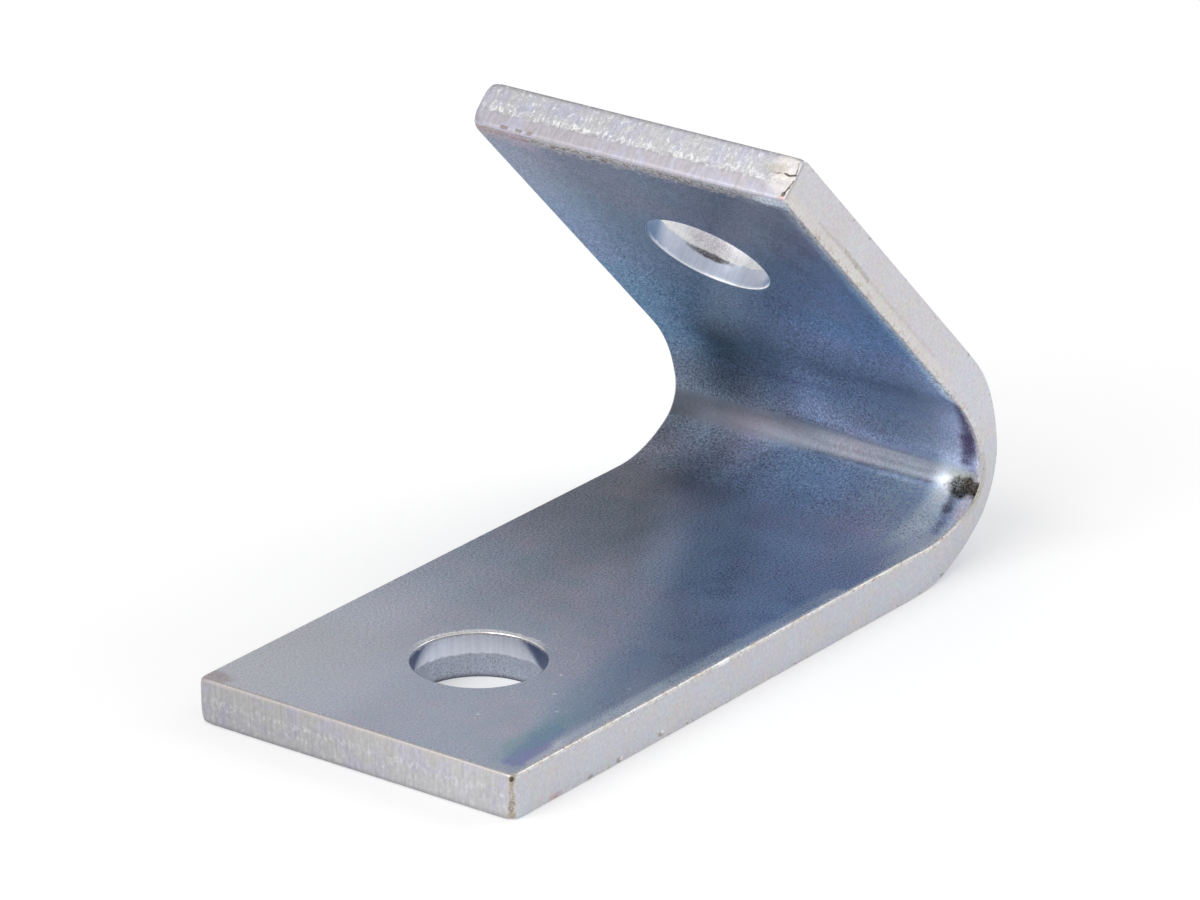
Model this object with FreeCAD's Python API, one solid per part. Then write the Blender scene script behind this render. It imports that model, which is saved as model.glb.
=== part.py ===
import FreeCAD, Part
import math
import os

from FreeCAD import Vector

# Strut angle fitting: one piece of flat steel bar, punched with a bolt hole
# in each leg and folded to a sharp angle.  All sizes are in millimetres and
# all angles in degrees.
#
# The base leg lies flat along X and its free end points to -X.  The bar's
# width is along Y.  The brace leg climbs from the bend and leans back over
# the base leg.  The origin is the centre of the base leg's bolt hole, on the
# seating face underneath.

# Flat bar stock.
BAR_WIDTH = 40.0
BAR_THICKNESS = 5.0

# Angle left open between the two legs.
LEG_ANGLE = 45.0

# Flat part of each leg, from its free end to where the bend starts.
BASE_FLAT = 70.7
BRACE_FLAT = 45.1

# The bend is tight in the middle, under the nose of the forming punch, and
# opens out softly into each leg.  The radii are those of the inside face.
NOSE_RADIUS = 4.0
SHOULDER_RADIUS = 16.5
SHOULDER_SWEEP = 32.0

# Folding squeezes the inside of the bar wider and draws the outside
# narrower.  These are the changes on each side at the middle of the bend,
# and the length of flat over which they die away beyond it.
INSIDE_SWELL = 0.4
OUTSIDE_DRAW = 1.3
SWELL_RUNOUT = 3.0

# Bolt holes, punched from the inside face on the middle of the width.
HOLE_DIAMETER = 14.0
BASE_HOLE_TO_END = 20.3
BRACE_HOLE_TO_END = 20.5

# A punched hole starts with a rolled rim, keeps a smooth land over part of
# the thickness, and steps out by a short slope to where the slug broke away.
# The depths are from the inside face.
RIM_ROLL = 0.15
LAND_DEPTH = 2.4
BREAK_SLOPE_DEPTH = 0.5
BREAK_OPENING = 0.1

# The free ends are cropped from the inside face: a smooth land, then a torn
# part that leans back towards the outside face.
CROP_LAND = 1.8
CROP_LEAN = 0.05

# Roundings: the four cropped corners seen square to the bar, and the edges
# around its outside face and its inside face.
CORNER_RADIUS = 0.35
OUTSIDE_EDGE_RADIUS = 0.2
INSIDE_EDGE_RADIUS = 0.3

# How far cutting shapes reach past the metal.
CLEAR = 1.0

# Points closer than this count as touching.
TOUCHING = 0.001

# Number of cross-sections that carry the sides of the bar round the bend.
SIDE_SECTIONS = 15

BEND_SWEEP = 180.0 - LEG_ANGLE
NOSE_SWEEP = BEND_SWEEP - 2 * SHOULDER_SWEEP
BASE_END_X = -BASE_HOLE_TO_END
BEND_START_X = BASE_END_X + BASE_FLAT


def along(heading):
    """Direction of the bar's run when it points up at this angle."""
    angle = math.radians(heading)
    return Vector(math.cos(angle), 0, math.sin(angle))


def inward(heading):
    """Direction square to the bar's run, out of its inside face."""
    angle = math.radians(heading)
    return Vector(-math.sin(angle), 0, math.cos(angle))


class BendArc:
    """One arc of the bend, held by the circle of its inside face."""

    def __init__(self, start_point, start_heading, radius, sweep):
        self.radius = radius
        self.start = start_heading
        self.end = start_heading + sweep
        self.centre = start_point + inward(start_heading) * radius

    def at(self, heading, depth):
        """Point at a depth below the inside face."""
        return self.centre - inward(heading) * (self.radius + depth)

    def edge(self, depth):
        """The arc at a depth below the inside face."""
        middle = (self.start + self.end) / 2
        points = [self.at(heading, depth) for heading in (self.start, middle, self.end)]
        return Part.Arc(*points).toShape()

    def middle_run(self):
        """Length of the arc halfway through the thickness."""
        sweep = math.radians(self.end - self.start)
        return (self.radius + BAR_THICKNESS / 2) * sweep


def bend_arcs():
    """Shoulder, nose and shoulder, in order from the base leg."""
    point = Vector(BEND_START_X, 0, BAR_THICKNESS)
    heading = 0.0
    arcs = []
    steps = [
        (SHOULDER_RADIUS, SHOULDER_SWEEP),
        (NOSE_RADIUS, NOSE_SWEEP),
        (SHOULDER_RADIUS, SHOULDER_SWEEP),
    ]
    for radius, sweep in steps:
        arc = BendArc(point, heading, radius, sweep)
        arcs.append(arc)
        point = arc.at(arc.end, 0)
        heading = arc.end
    return arcs


ARCS = bend_arcs()
BRACE_START = ARCS[-1].at(BEND_SWEEP, 0)
BEND_RUN = sum(arc.middle_run() for arc in ARCS)
SWELL_LENGTH = BEND_RUN + 2 * SWELL_RUNOUT


def base_point(from_end, depth):
    """Point on the base leg, by distance from its free end."""
    return Vector(BASE_END_X + from_end, 0, BAR_THICKNESS - depth)


def brace_point(from_end, depth):
    """Point on the brace leg, by distance from its free end."""
    up_leg = along(BEND_SWEEP) * (BRACE_FLAT - from_end)
    return BRACE_START + up_leg - inward(BEND_SWEEP) * depth


def place_at(run):
    """Point and heading on the inside face at a run from the bend's start."""
    if run <= 0:
        return Vector(BEND_START_X + run, 0, BAR_THICKNESS), 0.0
    for arc in ARCS:
        if run <= arc.middle_run():
            share = run / arc.middle_run()
            heading = arc.start + share * (arc.end - arc.start)
            return arc.at(heading, 0), heading
        run -= arc.middle_run()
    return BRACE_START + along(BEND_SWEEP) * run, BEND_SWEEP


def straight_edge(near, far):
    """Straight edge between two points."""
    return Part.makeLine(near, far)


def side_outline():
    """Closed outline of the bent bar, seen from the side."""
    thick = BAR_THICKNESS
    inside = [arc.edge(0) for arc in ARCS]
    outside = [arc.edge(thick) for arc in ARCS]
    straight = [
        straight_edge(base_point(0, thick), base_point(0, 0)),
        straight_edge(base_point(0, 0), base_point(BASE_FLAT, 0)),
        straight_edge(brace_point(BRACE_FLAT, 0), brace_point(0, 0)),
        straight_edge(brace_point(0, 0), brace_point(0, thick)),
        straight_edge(brace_point(0, thick), brace_point(BRACE_FLAT, thick)),
        straight_edge(base_point(BASE_FLAT, thick), base_point(0, thick)),
    ]
    return Part.Wire(Part.__sortEdges__(straight + inside + outside))


def bent_strip():
    """The bent bar with plain sides, wide enough to trim to its true sides."""
    spare = INSIDE_SWELL + CLEAR
    strip = Part.Face(side_outline()).extrude(Vector(0, BAR_WIDTH + 2 * spare, 0))
    strip.translate(Vector(0, -BAR_WIDTH / 2 - spare, 0))
    return strip


def swell_share(run):
    """How much of the bend's full swell shows at a run from its start."""
    share = (run + SWELL_RUNOUT) / SWELL_LENGTH
    return math.sin(math.pi * share) ** 2


def side_section(run):
    """Cross-section of the trimming shape at a run from the bend's start."""
    point, heading = place_at(run)
    swell = swell_share(run)
    at_inside = BAR_WIDTH / 2 + INSIDE_SWELL * swell
    at_outside = BAR_WIDTH / 2 - OUTSIDE_DRAW * swell
    slope = (at_outside - at_inside) / BAR_THICKNESS
    top, bottom = -CLEAR, BAR_THICKNESS + CLEAR
    corners = []
    for side, depth in ((-1, top), (1, top), (1, bottom), (-1, bottom)):
        half_width = at_inside + slope * depth
        corner = point - inward(heading) * depth
        corners.append(corner + Vector(0, side * half_width, 0))
    return Part.makePolygon(corners + corners[:1])


def bend_sides():
    """Trimming shape with the swelled sides of the bend."""
    step = SWELL_LENGTH / (SIDE_SECTIONS - 1)
    runs = [index * step - SWELL_RUNOUT for index in range(SIDE_SECTIONS)]
    return Part.makeLoft([side_section(run) for run in runs], True, False)


def leg_end_outline(length):
    """Side outline of a trimming shape with a cropped end at X = 0."""
    lean_rate = CROP_LEAN / (BAR_THICKNESS - CROP_LAND)
    lean = lean_rate * (BAR_THICKNESS - CROP_LAND + CLEAR)
    corners = [
        Vector(0, 0, BAR_THICKNESS + CLEAR),
        Vector(0, 0, BAR_THICKNESS - CROP_LAND),
        Vector(lean, 0, -CLEAR),
        Vector(length, 0, -CLEAR),
        Vector(length, 0, BAR_THICKNESS + CLEAR),
    ]
    return Part.makePolygon(corners + corners[:1])


def leg_plan(length):
    """Trimming shape of one flat leg, its free end at X = 0 with rounded corners."""
    block = Part.Face(leg_end_outline(length)).extrude(Vector(0, BAR_WIDTH, 0))
    block.translate(Vector(0, -BAR_WIDTH / 2, 0))
    corners = [edge for edge in block.Edges if is_end_corner(edge)]
    return block.makeFillet(CORNER_RADIUS, corners)


def is_end_corner(edge):
    """True for the upright edges of a block near X = 0."""
    box = edge.BoundBox
    return box.XMax < CLEAR and box.YLength < TOUCHING and box.ZLength > TOUCHING


def base_sides():
    """Trimming shape of the base leg."""
    plan = leg_plan(BASE_FLAT - SWELL_RUNOUT)
    plan.translate(Vector(BASE_END_X, 0, 0))
    return plan


def brace_sides():
    """Trimming shape of the brace leg, laid along that leg."""
    plan = leg_plan(BRACE_FLAT - SWELL_RUNOUT)
    down_leg = along(BEND_SWEEP + 180)
    turn = FreeCAD.Rotation(down_leg, Vector(), inward(BEND_SWEEP), "XZY")
    plan.Placement = FreeCAD.Placement(brace_point(0, BAR_THICKNESS), turn)
    return plan


def folded_bar():
    """The bent bar with its true sides and sharp edges round both faces."""
    strip = bent_strip()
    base, bend, brace = [strip.common(sides()) for sides in (base_sides, bend_sides, brace_sides)]
    return base.fuse([bend, brace]).removeSplitter()


def face_sheet(depth):
    """Thin sheet that follows the bar at a depth below its inside face."""
    base = straight_edge(base_point(0, depth), base_point(BASE_FLAT, depth))
    brace = straight_edge(brace_point(BRACE_FLAT, depth), brace_point(0, depth))
    run = Part.Wire([base] + [arc.edge(depth) for arc in ARCS] + [brace])
    sheet = run.extrude(Vector(0, BAR_WIDTH + 2 * CLEAR, 0))
    sheet.translate(Vector(0, -BAR_WIDTH / 2 - CLEAR, 0))
    return sheet


def lies_on(sheet, edge):
    """True where an edge follows a sheet from end to end."""
    first, last = edge.ParameterRange
    marks = [edge.valueAt(first), edge.valueAt((first + last) / 2), edge.valueAt(last)]
    return all(sheet.distToShape(Part.Vertex(mark))[0] < TOUCHING for mark in marks)


def rim_edges(bar, depth):
    """Edges round the bar's face at a depth, without the seams across it."""
    sheet = face_sheet(depth)
    rim = []
    for edge in bar.Edges:
        if not lies_on(sheet, edge):
            continue
        faces = bar.ancestorsOfType(edge, Part.Face)
        on_sheet = [face for face in faces if all(lies_on(sheet, side) for side in face.Edges)]
        if len(on_sheet) == 1:
            rim.append(edge)
    return rim


def rounded_bar():
    """The bent bar with its edges rounded, still without holes."""
    bar = folded_bar()
    bar = bar.makeFillet(OUTSIDE_EDGE_RADIUS, rim_edges(bar, BAR_THICKNESS))
    return bar.makeFillet(INSIDE_EDGE_RADIUS, rim_edges(bar, 0))


def hole_outline():
    """Half section of a punched hole's empty space, with Z = 0 at the inside face."""
    radius = HOLE_DIAMETER / 2
    rim = radius + RIM_ROLL
    broken = radius + BREAK_OPENING
    mid_roll = RIM_ROLL * (1 - math.sqrt(0.5))
    floor = -BAR_THICKNESS - CLEAR
    land_top = Vector(radius, 0, -RIM_ROLL)
    land_end = Vector(radius, 0, -LAND_DEPTH)
    break_top = Vector(broken, 0, -LAND_DEPTH - BREAK_SLOPE_DEPTH)
    roll = Part.Arc(Vector(rim, 0, 0), Vector(radius + mid_roll, 0, -mid_roll), land_top)
    edges = [
        straight_edge(Vector(0, 0, CLEAR), Vector(rim, 0, CLEAR)),
        straight_edge(Vector(rim, 0, CLEAR), Vector(rim, 0, 0)),
        roll.toShape(),
        straight_edge(land_top, land_end),
        straight_edge(land_end, break_top),
        straight_edge(break_top, Vector(broken, 0, floor)),
        straight_edge(Vector(broken, 0, floor), Vector(0, 0, floor)),
        straight_edge(Vector(0, 0, floor), Vector(0, 0, CLEAR)),
    ]
    return Part.Wire(edges)


def punched_hole(centre, heading):
    """Empty space of one hole, from its centre on the inside face."""
    space = Part.Face(hole_outline()).revolve(Vector(0, 0, 0), Vector(0, 0, 1), 360)
    space.Placement = FreeCAD.Placement(centre, FreeCAD.Rotation(Vector(0, 0, 1), inward(heading)))
    return space


def angle_fitting():
    """The finished fitting."""
    base_hole = punched_hole(base_point(BASE_HOLE_TO_END, 0), 0)
    brace_hole = punched_hole(brace_point(BRACE_HOLE_TO_END, 0), BEND_SWEEP)
    return rounded_bar().cut([base_hole, brace_hole]).Solids[0]


def main():
    """Build the fitting and write its file."""
    os.makedirs("parts", exist_ok=True)
    angle_fitting().exportStep("parts/angle_fitting.step")


main()
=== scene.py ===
"""A zinc plated strut angle fitting, in a plain white studio.

The fitting is one length of flat steel bar, punched with a bolt hole near each
end, cropped, folded once to a sharp angle and plated.  It is built here as it
is made: the flat blank first, then the fold.  Lengths are in metres, and the
places of marks on a surface are in millimetres on the flat blank.
"""
import logging
import math
from dataclasses import dataclass, field, replace
from enum import Enum

import bpy
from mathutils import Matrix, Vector, noise


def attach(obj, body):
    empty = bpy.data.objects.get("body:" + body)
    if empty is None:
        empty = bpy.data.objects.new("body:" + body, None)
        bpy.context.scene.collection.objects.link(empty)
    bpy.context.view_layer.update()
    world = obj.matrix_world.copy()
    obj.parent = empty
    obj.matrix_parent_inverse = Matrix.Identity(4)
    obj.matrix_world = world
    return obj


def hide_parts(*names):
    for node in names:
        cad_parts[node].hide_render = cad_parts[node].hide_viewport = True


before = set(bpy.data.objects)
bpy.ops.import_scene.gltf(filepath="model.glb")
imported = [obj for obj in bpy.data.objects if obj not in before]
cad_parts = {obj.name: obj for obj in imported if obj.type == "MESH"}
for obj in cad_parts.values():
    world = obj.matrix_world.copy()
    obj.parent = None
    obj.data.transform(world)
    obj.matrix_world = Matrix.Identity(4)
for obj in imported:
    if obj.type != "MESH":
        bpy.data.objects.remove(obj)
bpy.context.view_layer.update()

MM = 0.001
LOG = logging.getLogger("angle_fitting")

# A Plan is a place on the flat blank, a Pair any two numbers, and a Spot the two sockets of a place.
# A Noise holds how many clouds there are to a millimetre, their finer layers and the strength of those.
Colour = tuple[float, float, float]
Plan = tuple[float, float]
Pair = tuple[float, float]
GridMark = tuple[int, int]
Socket = bpy.types.NodeSocket
Spot = tuple[Socket, Socket]
Noise = tuple[float, ...]

WHITE: Colour = (1.0, 1.0, 1.0)
NOISE_SPAN: Pair = (0.3, 0.7)
SPECK_NOISE: Noise = (5.5, 2.0, 0.7)
SPECKLE_SPAN: Pair = (0.40, 0.62)


class Surface(Enum):
    """The kinds of surface on the bar; the value is the material slot."""

    INSIDE = 0
    OUTSIDE = 1
    LONG_EDGE = 2
    BASE_END = 3
    BRACE_END = 4
    BASE_HOLE = 5
    BRACE_HOLE = 6


ENDS = (Surface.BASE_END, Surface.BRACE_END)
HOLES = (Surface.BASE_HOLE, Surface.BRACE_HOLE)


@dataclass(frozen=True)
class CornerWear:
    """How far one of the bar's eight corners is worn back.

    Attributes:
        end: 0 at the base leg's free end and 1 at the brace leg's.
        side: -1 on the near side and 1 on the far side.
        face: 0 on the inside face and 1 on the outside face.
        amount: How far the corner itself moves in.
        reach: How far along the edges the wear runs.
    """

    end: int
    side: int
    face: int
    amount: float
    reach: float


CORNER_WEARS = (
    CornerWear(0, -1, 0, 0.15 * MM, 1.2 * MM),
    CornerWear(0, -1, 1, 0.50 * MM, 2.0 * MM),
    CornerWear(0, 1, 0, 0.12 * MM, 1.2 * MM),
    CornerWear(0, 1, 1, 0.35 * MM, 2.0 * MM),
    CornerWear(1, -1, 0, 0.15 * MM, 1.2 * MM),
    CornerWear(1, -1, 1, 0.25 * MM, 1.5 * MM),
    CornerWear(1, 1, 0, 0.55 * MM, 2.2 * MM),
    CornerWear(1, 1, 1, 0.50 * MM, 2.0 * MM),
)


@dataclass(frozen=True)
class BarSizes:
    """Driving sizes of the folded bar."""

    width: float = 40.0 * MM
    thickness: float = 5.0 * MM
    leg_angle: float = 45.0
    base_flat: float = 70.7 * MM
    brace_flat: float = 45.1 * MM
    nose_radius: float = 4.0 * MM
    shoulder_radius: float = 16.5 * MM
    shoulder_sweep: float = 32.0
    far_swell: float = 0.365 * MM
    near_swell: float = 0.28 * MM
    outside_draw: float = 1.3 * MM
    swell_runout: float = 3.0 * MM
    hole_diameter: float = 14.0 * MM
    base_hole_to_end: float = 20.3 * MM
    brace_hole_to_end: float = 20.5 * MM
    rim_roll: float = 0.15 * MM
    land_depth: float = 2.4 * MM
    break_slope_depth: float = 0.5 * MM
    break_opening: float = 0.1 * MM
    crop_land: float = 1.8 * MM
    crop_lean: float = 0.05 * MM
    torn_depth: float = 0.07 * MM
    corner_radius: float = 0.35 * MM
    worn_corner_radius: float = 0.9 * MM
    outside_edge: float = 0.2 * MM
    inside_edge: float = 0.25 * MM
    end_droop: float = 0.12 * MM
    end_droop_reach: float = 0.9 * MM
    edge_droop: float = 0.05 * MM
    edge_droop_reach: float = 1.6 * MM
    corner_wears: tuple[CornerWear, ...] = CORNER_WEARS
    lip_fall: float = 0.35 * MM
    lip_reach: float = 6.0 * MM
    clearance: float = 0.004 * MM

    @property
    def bend_sweep(self) -> float:
        """Angle that the bar turns through, in degrees."""
        return 180.0 - self.leg_angle


@dataclass(frozen=True)
class BendArc:
    """One arc of the bend, held by the circle of its inside face."""

    centre: Vector
    radius: float
    start: float
    end: float
    middle_run: float

    def at(self, heading: float, depth: float) -> Vector:
        """Point of the arc at a depth below the inside face."""
        return self.centre - inward(heading) * (self.radius + depth)


def along(heading: float) -> Vector:
    """Direction of the bar's run when it points up at an angle in degrees."""
    angle = math.radians(heading)
    return Vector((math.cos(angle), 0.0, math.sin(angle)))


def inward(heading: float) -> Vector:
    """Direction square to the bar's run, out of its inside face."""
    angle = math.radians(heading)
    return Vector((-math.sin(angle), 0.0, math.cos(angle)))


def faded(gap: float, reach: float) -> float:
    """Falls smoothly from 1 at an edge to 0 at a reach from it."""
    return max(0.0, 1.0 - gap / reach) ** 2


class FoldPath:
    """Carries a point of the flat blank to its place on the folded bar."""

    def __init__(self, sizes: BarSizes) -> None:
        """Lays out the three arcs of the bend.

        Args:
            sizes: The bar's driving sizes.
        """
        self.sizes = sizes
        self.base_end = Vector((-sizes.base_hole_to_end, 0.0, sizes.thickness))
        nose_sweep = sizes.bend_sweep - 2 * sizes.shoulder_sweep
        steps = (
            (sizes.shoulder_radius, sizes.shoulder_sweep),
            (sizes.nose_radius, nose_sweep),
            (sizes.shoulder_radius, sizes.shoulder_sweep),
        )
        point = self.base_end + along(0.0) * sizes.base_flat
        heading = 0.0
        self.arcs: list[BendArc] = []
        for radius, sweep in steps:
            run = (radius + sizes.thickness / 2) * math.radians(sweep)
            arc = BendArc(point + inward(heading) * radius, radius, heading, heading + sweep, run)
            self.arcs.append(arc)
            heading = arc.end
            point = arc.at(heading, 0.0)
        self.brace_start = point
        self.bend_run = sum(arc.middle_run for arc in self.arcs)
        self.length = sizes.base_flat + self.bend_run + sizes.brace_flat

    def middle(self, run: float, depth: float) -> Vector:
        """Finds a point on the middle of the width.

        Args:
            run: Distance along the bar from the base leg's free end.
            depth: Distance below the inside face.

        Returns:
            The point on the folded bar.
        """
        sizes = self.sizes
        if run <= sizes.base_flat:
            return self.base_end + along(0.0) * run - inward(0.0) * depth
        run -= sizes.base_flat
        for arc in self.arcs:
            if run <= arc.middle_run:
                share = run / arc.middle_run
                return arc.at(arc.start + share * (arc.end - arc.start), depth)
            run -= arc.middle_run
        sweep = sizes.bend_sweep
        return self.brace_start + along(sweep) * run - inward(sweep) * depth

    def fold_share(self, run: float) -> float:
        """Gives how much of the fold's full squeeze there is at a place.

        Args:
            run: Distance along the bar from the base leg's free end.

        Returns:
            The share, 0 on the flat legs and 1 in the middle of the fold.
        """
        whole = self.bend_run + 2 * self.sizes.swell_runout
        share = (run - self.sizes.base_flat + self.sizes.swell_runout) / whole
        return math.sin(math.pi * share) ** 2 if 0.0 < share < 1.0 else 0.0

    def widening(self, run: float, across: float, depth: float) -> float:
        """Gives how far each side stands out from the flat bar's side.

        Args:
            run: Distance along the bar from the base leg's free end.
            across: Distance across the width from its middle.
            depth: Distance below the inside face.

        Returns:
            The change in half width, positive where the bar is wider.
        """
        sizes = self.sizes
        swell = sizes.near_swell if across < 0 else sizes.far_swell
        fall = (swell + sizes.outside_draw) * depth / sizes.thickness
        return (swell - fall) * self.fold_share(run)

    def lean(self, run: float, depth: float) -> float:
        """Gives how far a torn end leans back along the bar.

        Args:
            run: Distance along the bar from the base leg's free end.
            depth: Distance below the inside face.

        Returns:
            The shift along the run.
        """
        sizes = self.sizes
        torn = max(0.0, depth - sizes.crop_land) / (sizes.thickness - sizes.crop_land)
        reach = 2 * sizes.worn_corner_radius
        return sizes.crop_lean * torn * (faded(run, reach) - faded(self.length - run, reach))

    def sink(self, run: float, across: float, depth: float) -> float:
        """Gives how far a point lies below its place in the flat stock.

        The inside face droops towards the cropped ends and, less, towards the
        long edges, and the fold's squeeze turns its near lip down.

        Args:
            run: Distance along the bar from the base leg's free end.
            across: Distance across the width from its middle.
            depth: Distance below the inside face.

        Returns:
            The shift in depth, which dies away halfway through the bar.
        """
        sizes = self.sizes
        share = 1.0 - 2 * depth / sizes.thickness
        from_end = min(run, self.length - run)
        from_edge = sizes.width / 2 - abs(across)
        squeeze = self.fold_share(run)
        drop = sizes.end_droop * faded(from_end, sizes.end_droop_reach)
        drop += sizes.edge_droop * faded(from_edge, sizes.edge_droop_reach)
        if across < 0:
            drop += sizes.lip_fall * faded(from_edge, sizes.lip_reach) * squeeze
        clear = sizes.clearance * squeeze * depth / sizes.thickness
        return drop * max(0.0, share) - clear

    def worn(self, run: float, across: float, depth: float) -> Vector:
        """Moves a point of the blank in where a corner near it is worn back.

        Args:
            run: Distance along the bar from the base leg's free end.
            across: Distance across the width from its middle.
            depth: Distance below the inside face.

        Returns:
            The point's place on the worn blank.
        """
        sizes = self.sizes
        point = Vector((run, across, depth))
        for wear in sizes.corner_wears:
            corner = (wear.end * self.length, wear.side * sizes.width / 2, wear.face * sizes.thickness)
            gap = point - Vector(corner)
            pull = wear.amount * faded(abs(gap.x) + abs(gap.y) + abs(gap.z), wear.reach)
            if pull:
                point += Vector((1 - 2 * wear.end, -wear.side, 1 - 2 * wear.face)).normalized() * pull
        return point

    def place(self, run: float, across: float, depth: float) -> Vector:
        """Carries one point of the blank to the folded bar.

        Args:
            run: Distance along the bar from the base leg's free end.
            across: Distance across the width from its middle.
            depth: Distance below the inside face.

        Returns:
            The point on the folded bar.
        """
        run, across, depth = self.worn(run, across, depth)
        depth += self.sink(run, across, depth)
        point = self.middle(run + self.lean(run, depth), depth)
        half = self.sizes.width / 2
        point.y = across * (1 + self.widening(run, across, depth) / half)
        return point


def spread(stops: list[Pair]) -> list[float]:
    """Divides a line into steps that differ from one stretch to the next.

    Args:
        stops: Where each stretch ends and the step wanted in it; the first
            entry is the start of the line, and its step isn't used.

    Returns:
        The positions, from the first stop to the last.
    """
    marks = [stops[0][0]]
    for end, step in stops[1:]:
        start = marks[-1]
        count = max(1, round((end - start) / step))
        marks += [start + (end - start) * (index + 1) / count for index in range(count)]
    return marks


def nearest(marks: list[float], place: float) -> int:
    """Number of the grid line nearest to a place."""
    return min(range(len(marks)), key=lambda index: abs(marks[index] - place))


def ring_of(row: int, column: int, last_row: int, last_column: int) -> list[GridMark]:
    """Lists the grid points round a rectangle of grid lines, in order.

    Args:
        row: First line along the bar.
        column: First line across the bar.
        last_row: Last line along the bar.
        last_column: Last line across the bar.

    Returns:
        The pairs of line numbers.
    """
    ring = [(i, column) for i in range(row, last_row)]
    ring += [(last_row, j) for j in range(column, last_column)]
    ring += [(i, last_column) for i in range(last_row, row, -1)]
    return ring + [(row, j) for j in range(last_column, column, -1)]


@dataclass
class BlankMesh:
    """Points and quads of the blank, with what each is for."""

    points: list[tuple[float, float, float]] = field(default_factory=list)
    quads: list[tuple[int, ...]] = field(default_factory=list)
    kinds: list[Surface] = field(default_factory=list)
    wraps: dict[int, Plan] = field(default_factory=dict)

    def point(self, run: float, across: float, depth: float) -> int:
        """Adds a point of the blank and gives its number.

        Args:
            run: Distance along the bar from the base leg's free end.
            across: Distance across the width from its middle.
            depth: Distance below the inside face.

        Returns:
            The point's number.
        """
        self.points.append((run, across, depth))
        return len(self.points) - 1

    def quad(self, corners: tuple[int, ...], kind: Surface) -> None:
        """Adds a face of one kind of surface."""
        self.quads.append(corners)
        self.kinds.append(kind)

    def ladder(self, upper: list[int], lower: list[int], kinds: list[Surface]) -> None:
        """Joins two closed rings of points with a band of quads.

        Args:
            upper: The first ring.
            lower: The other ring, with as many points.
            kinds: The kind of each quad round the ring.
        """
        count = len(upper)
        for index, kind in enumerate(kinds):
            after = (index + 1) % count
            self.quad((upper[index], upper[after], lower[after], lower[index]), kind)


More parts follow.
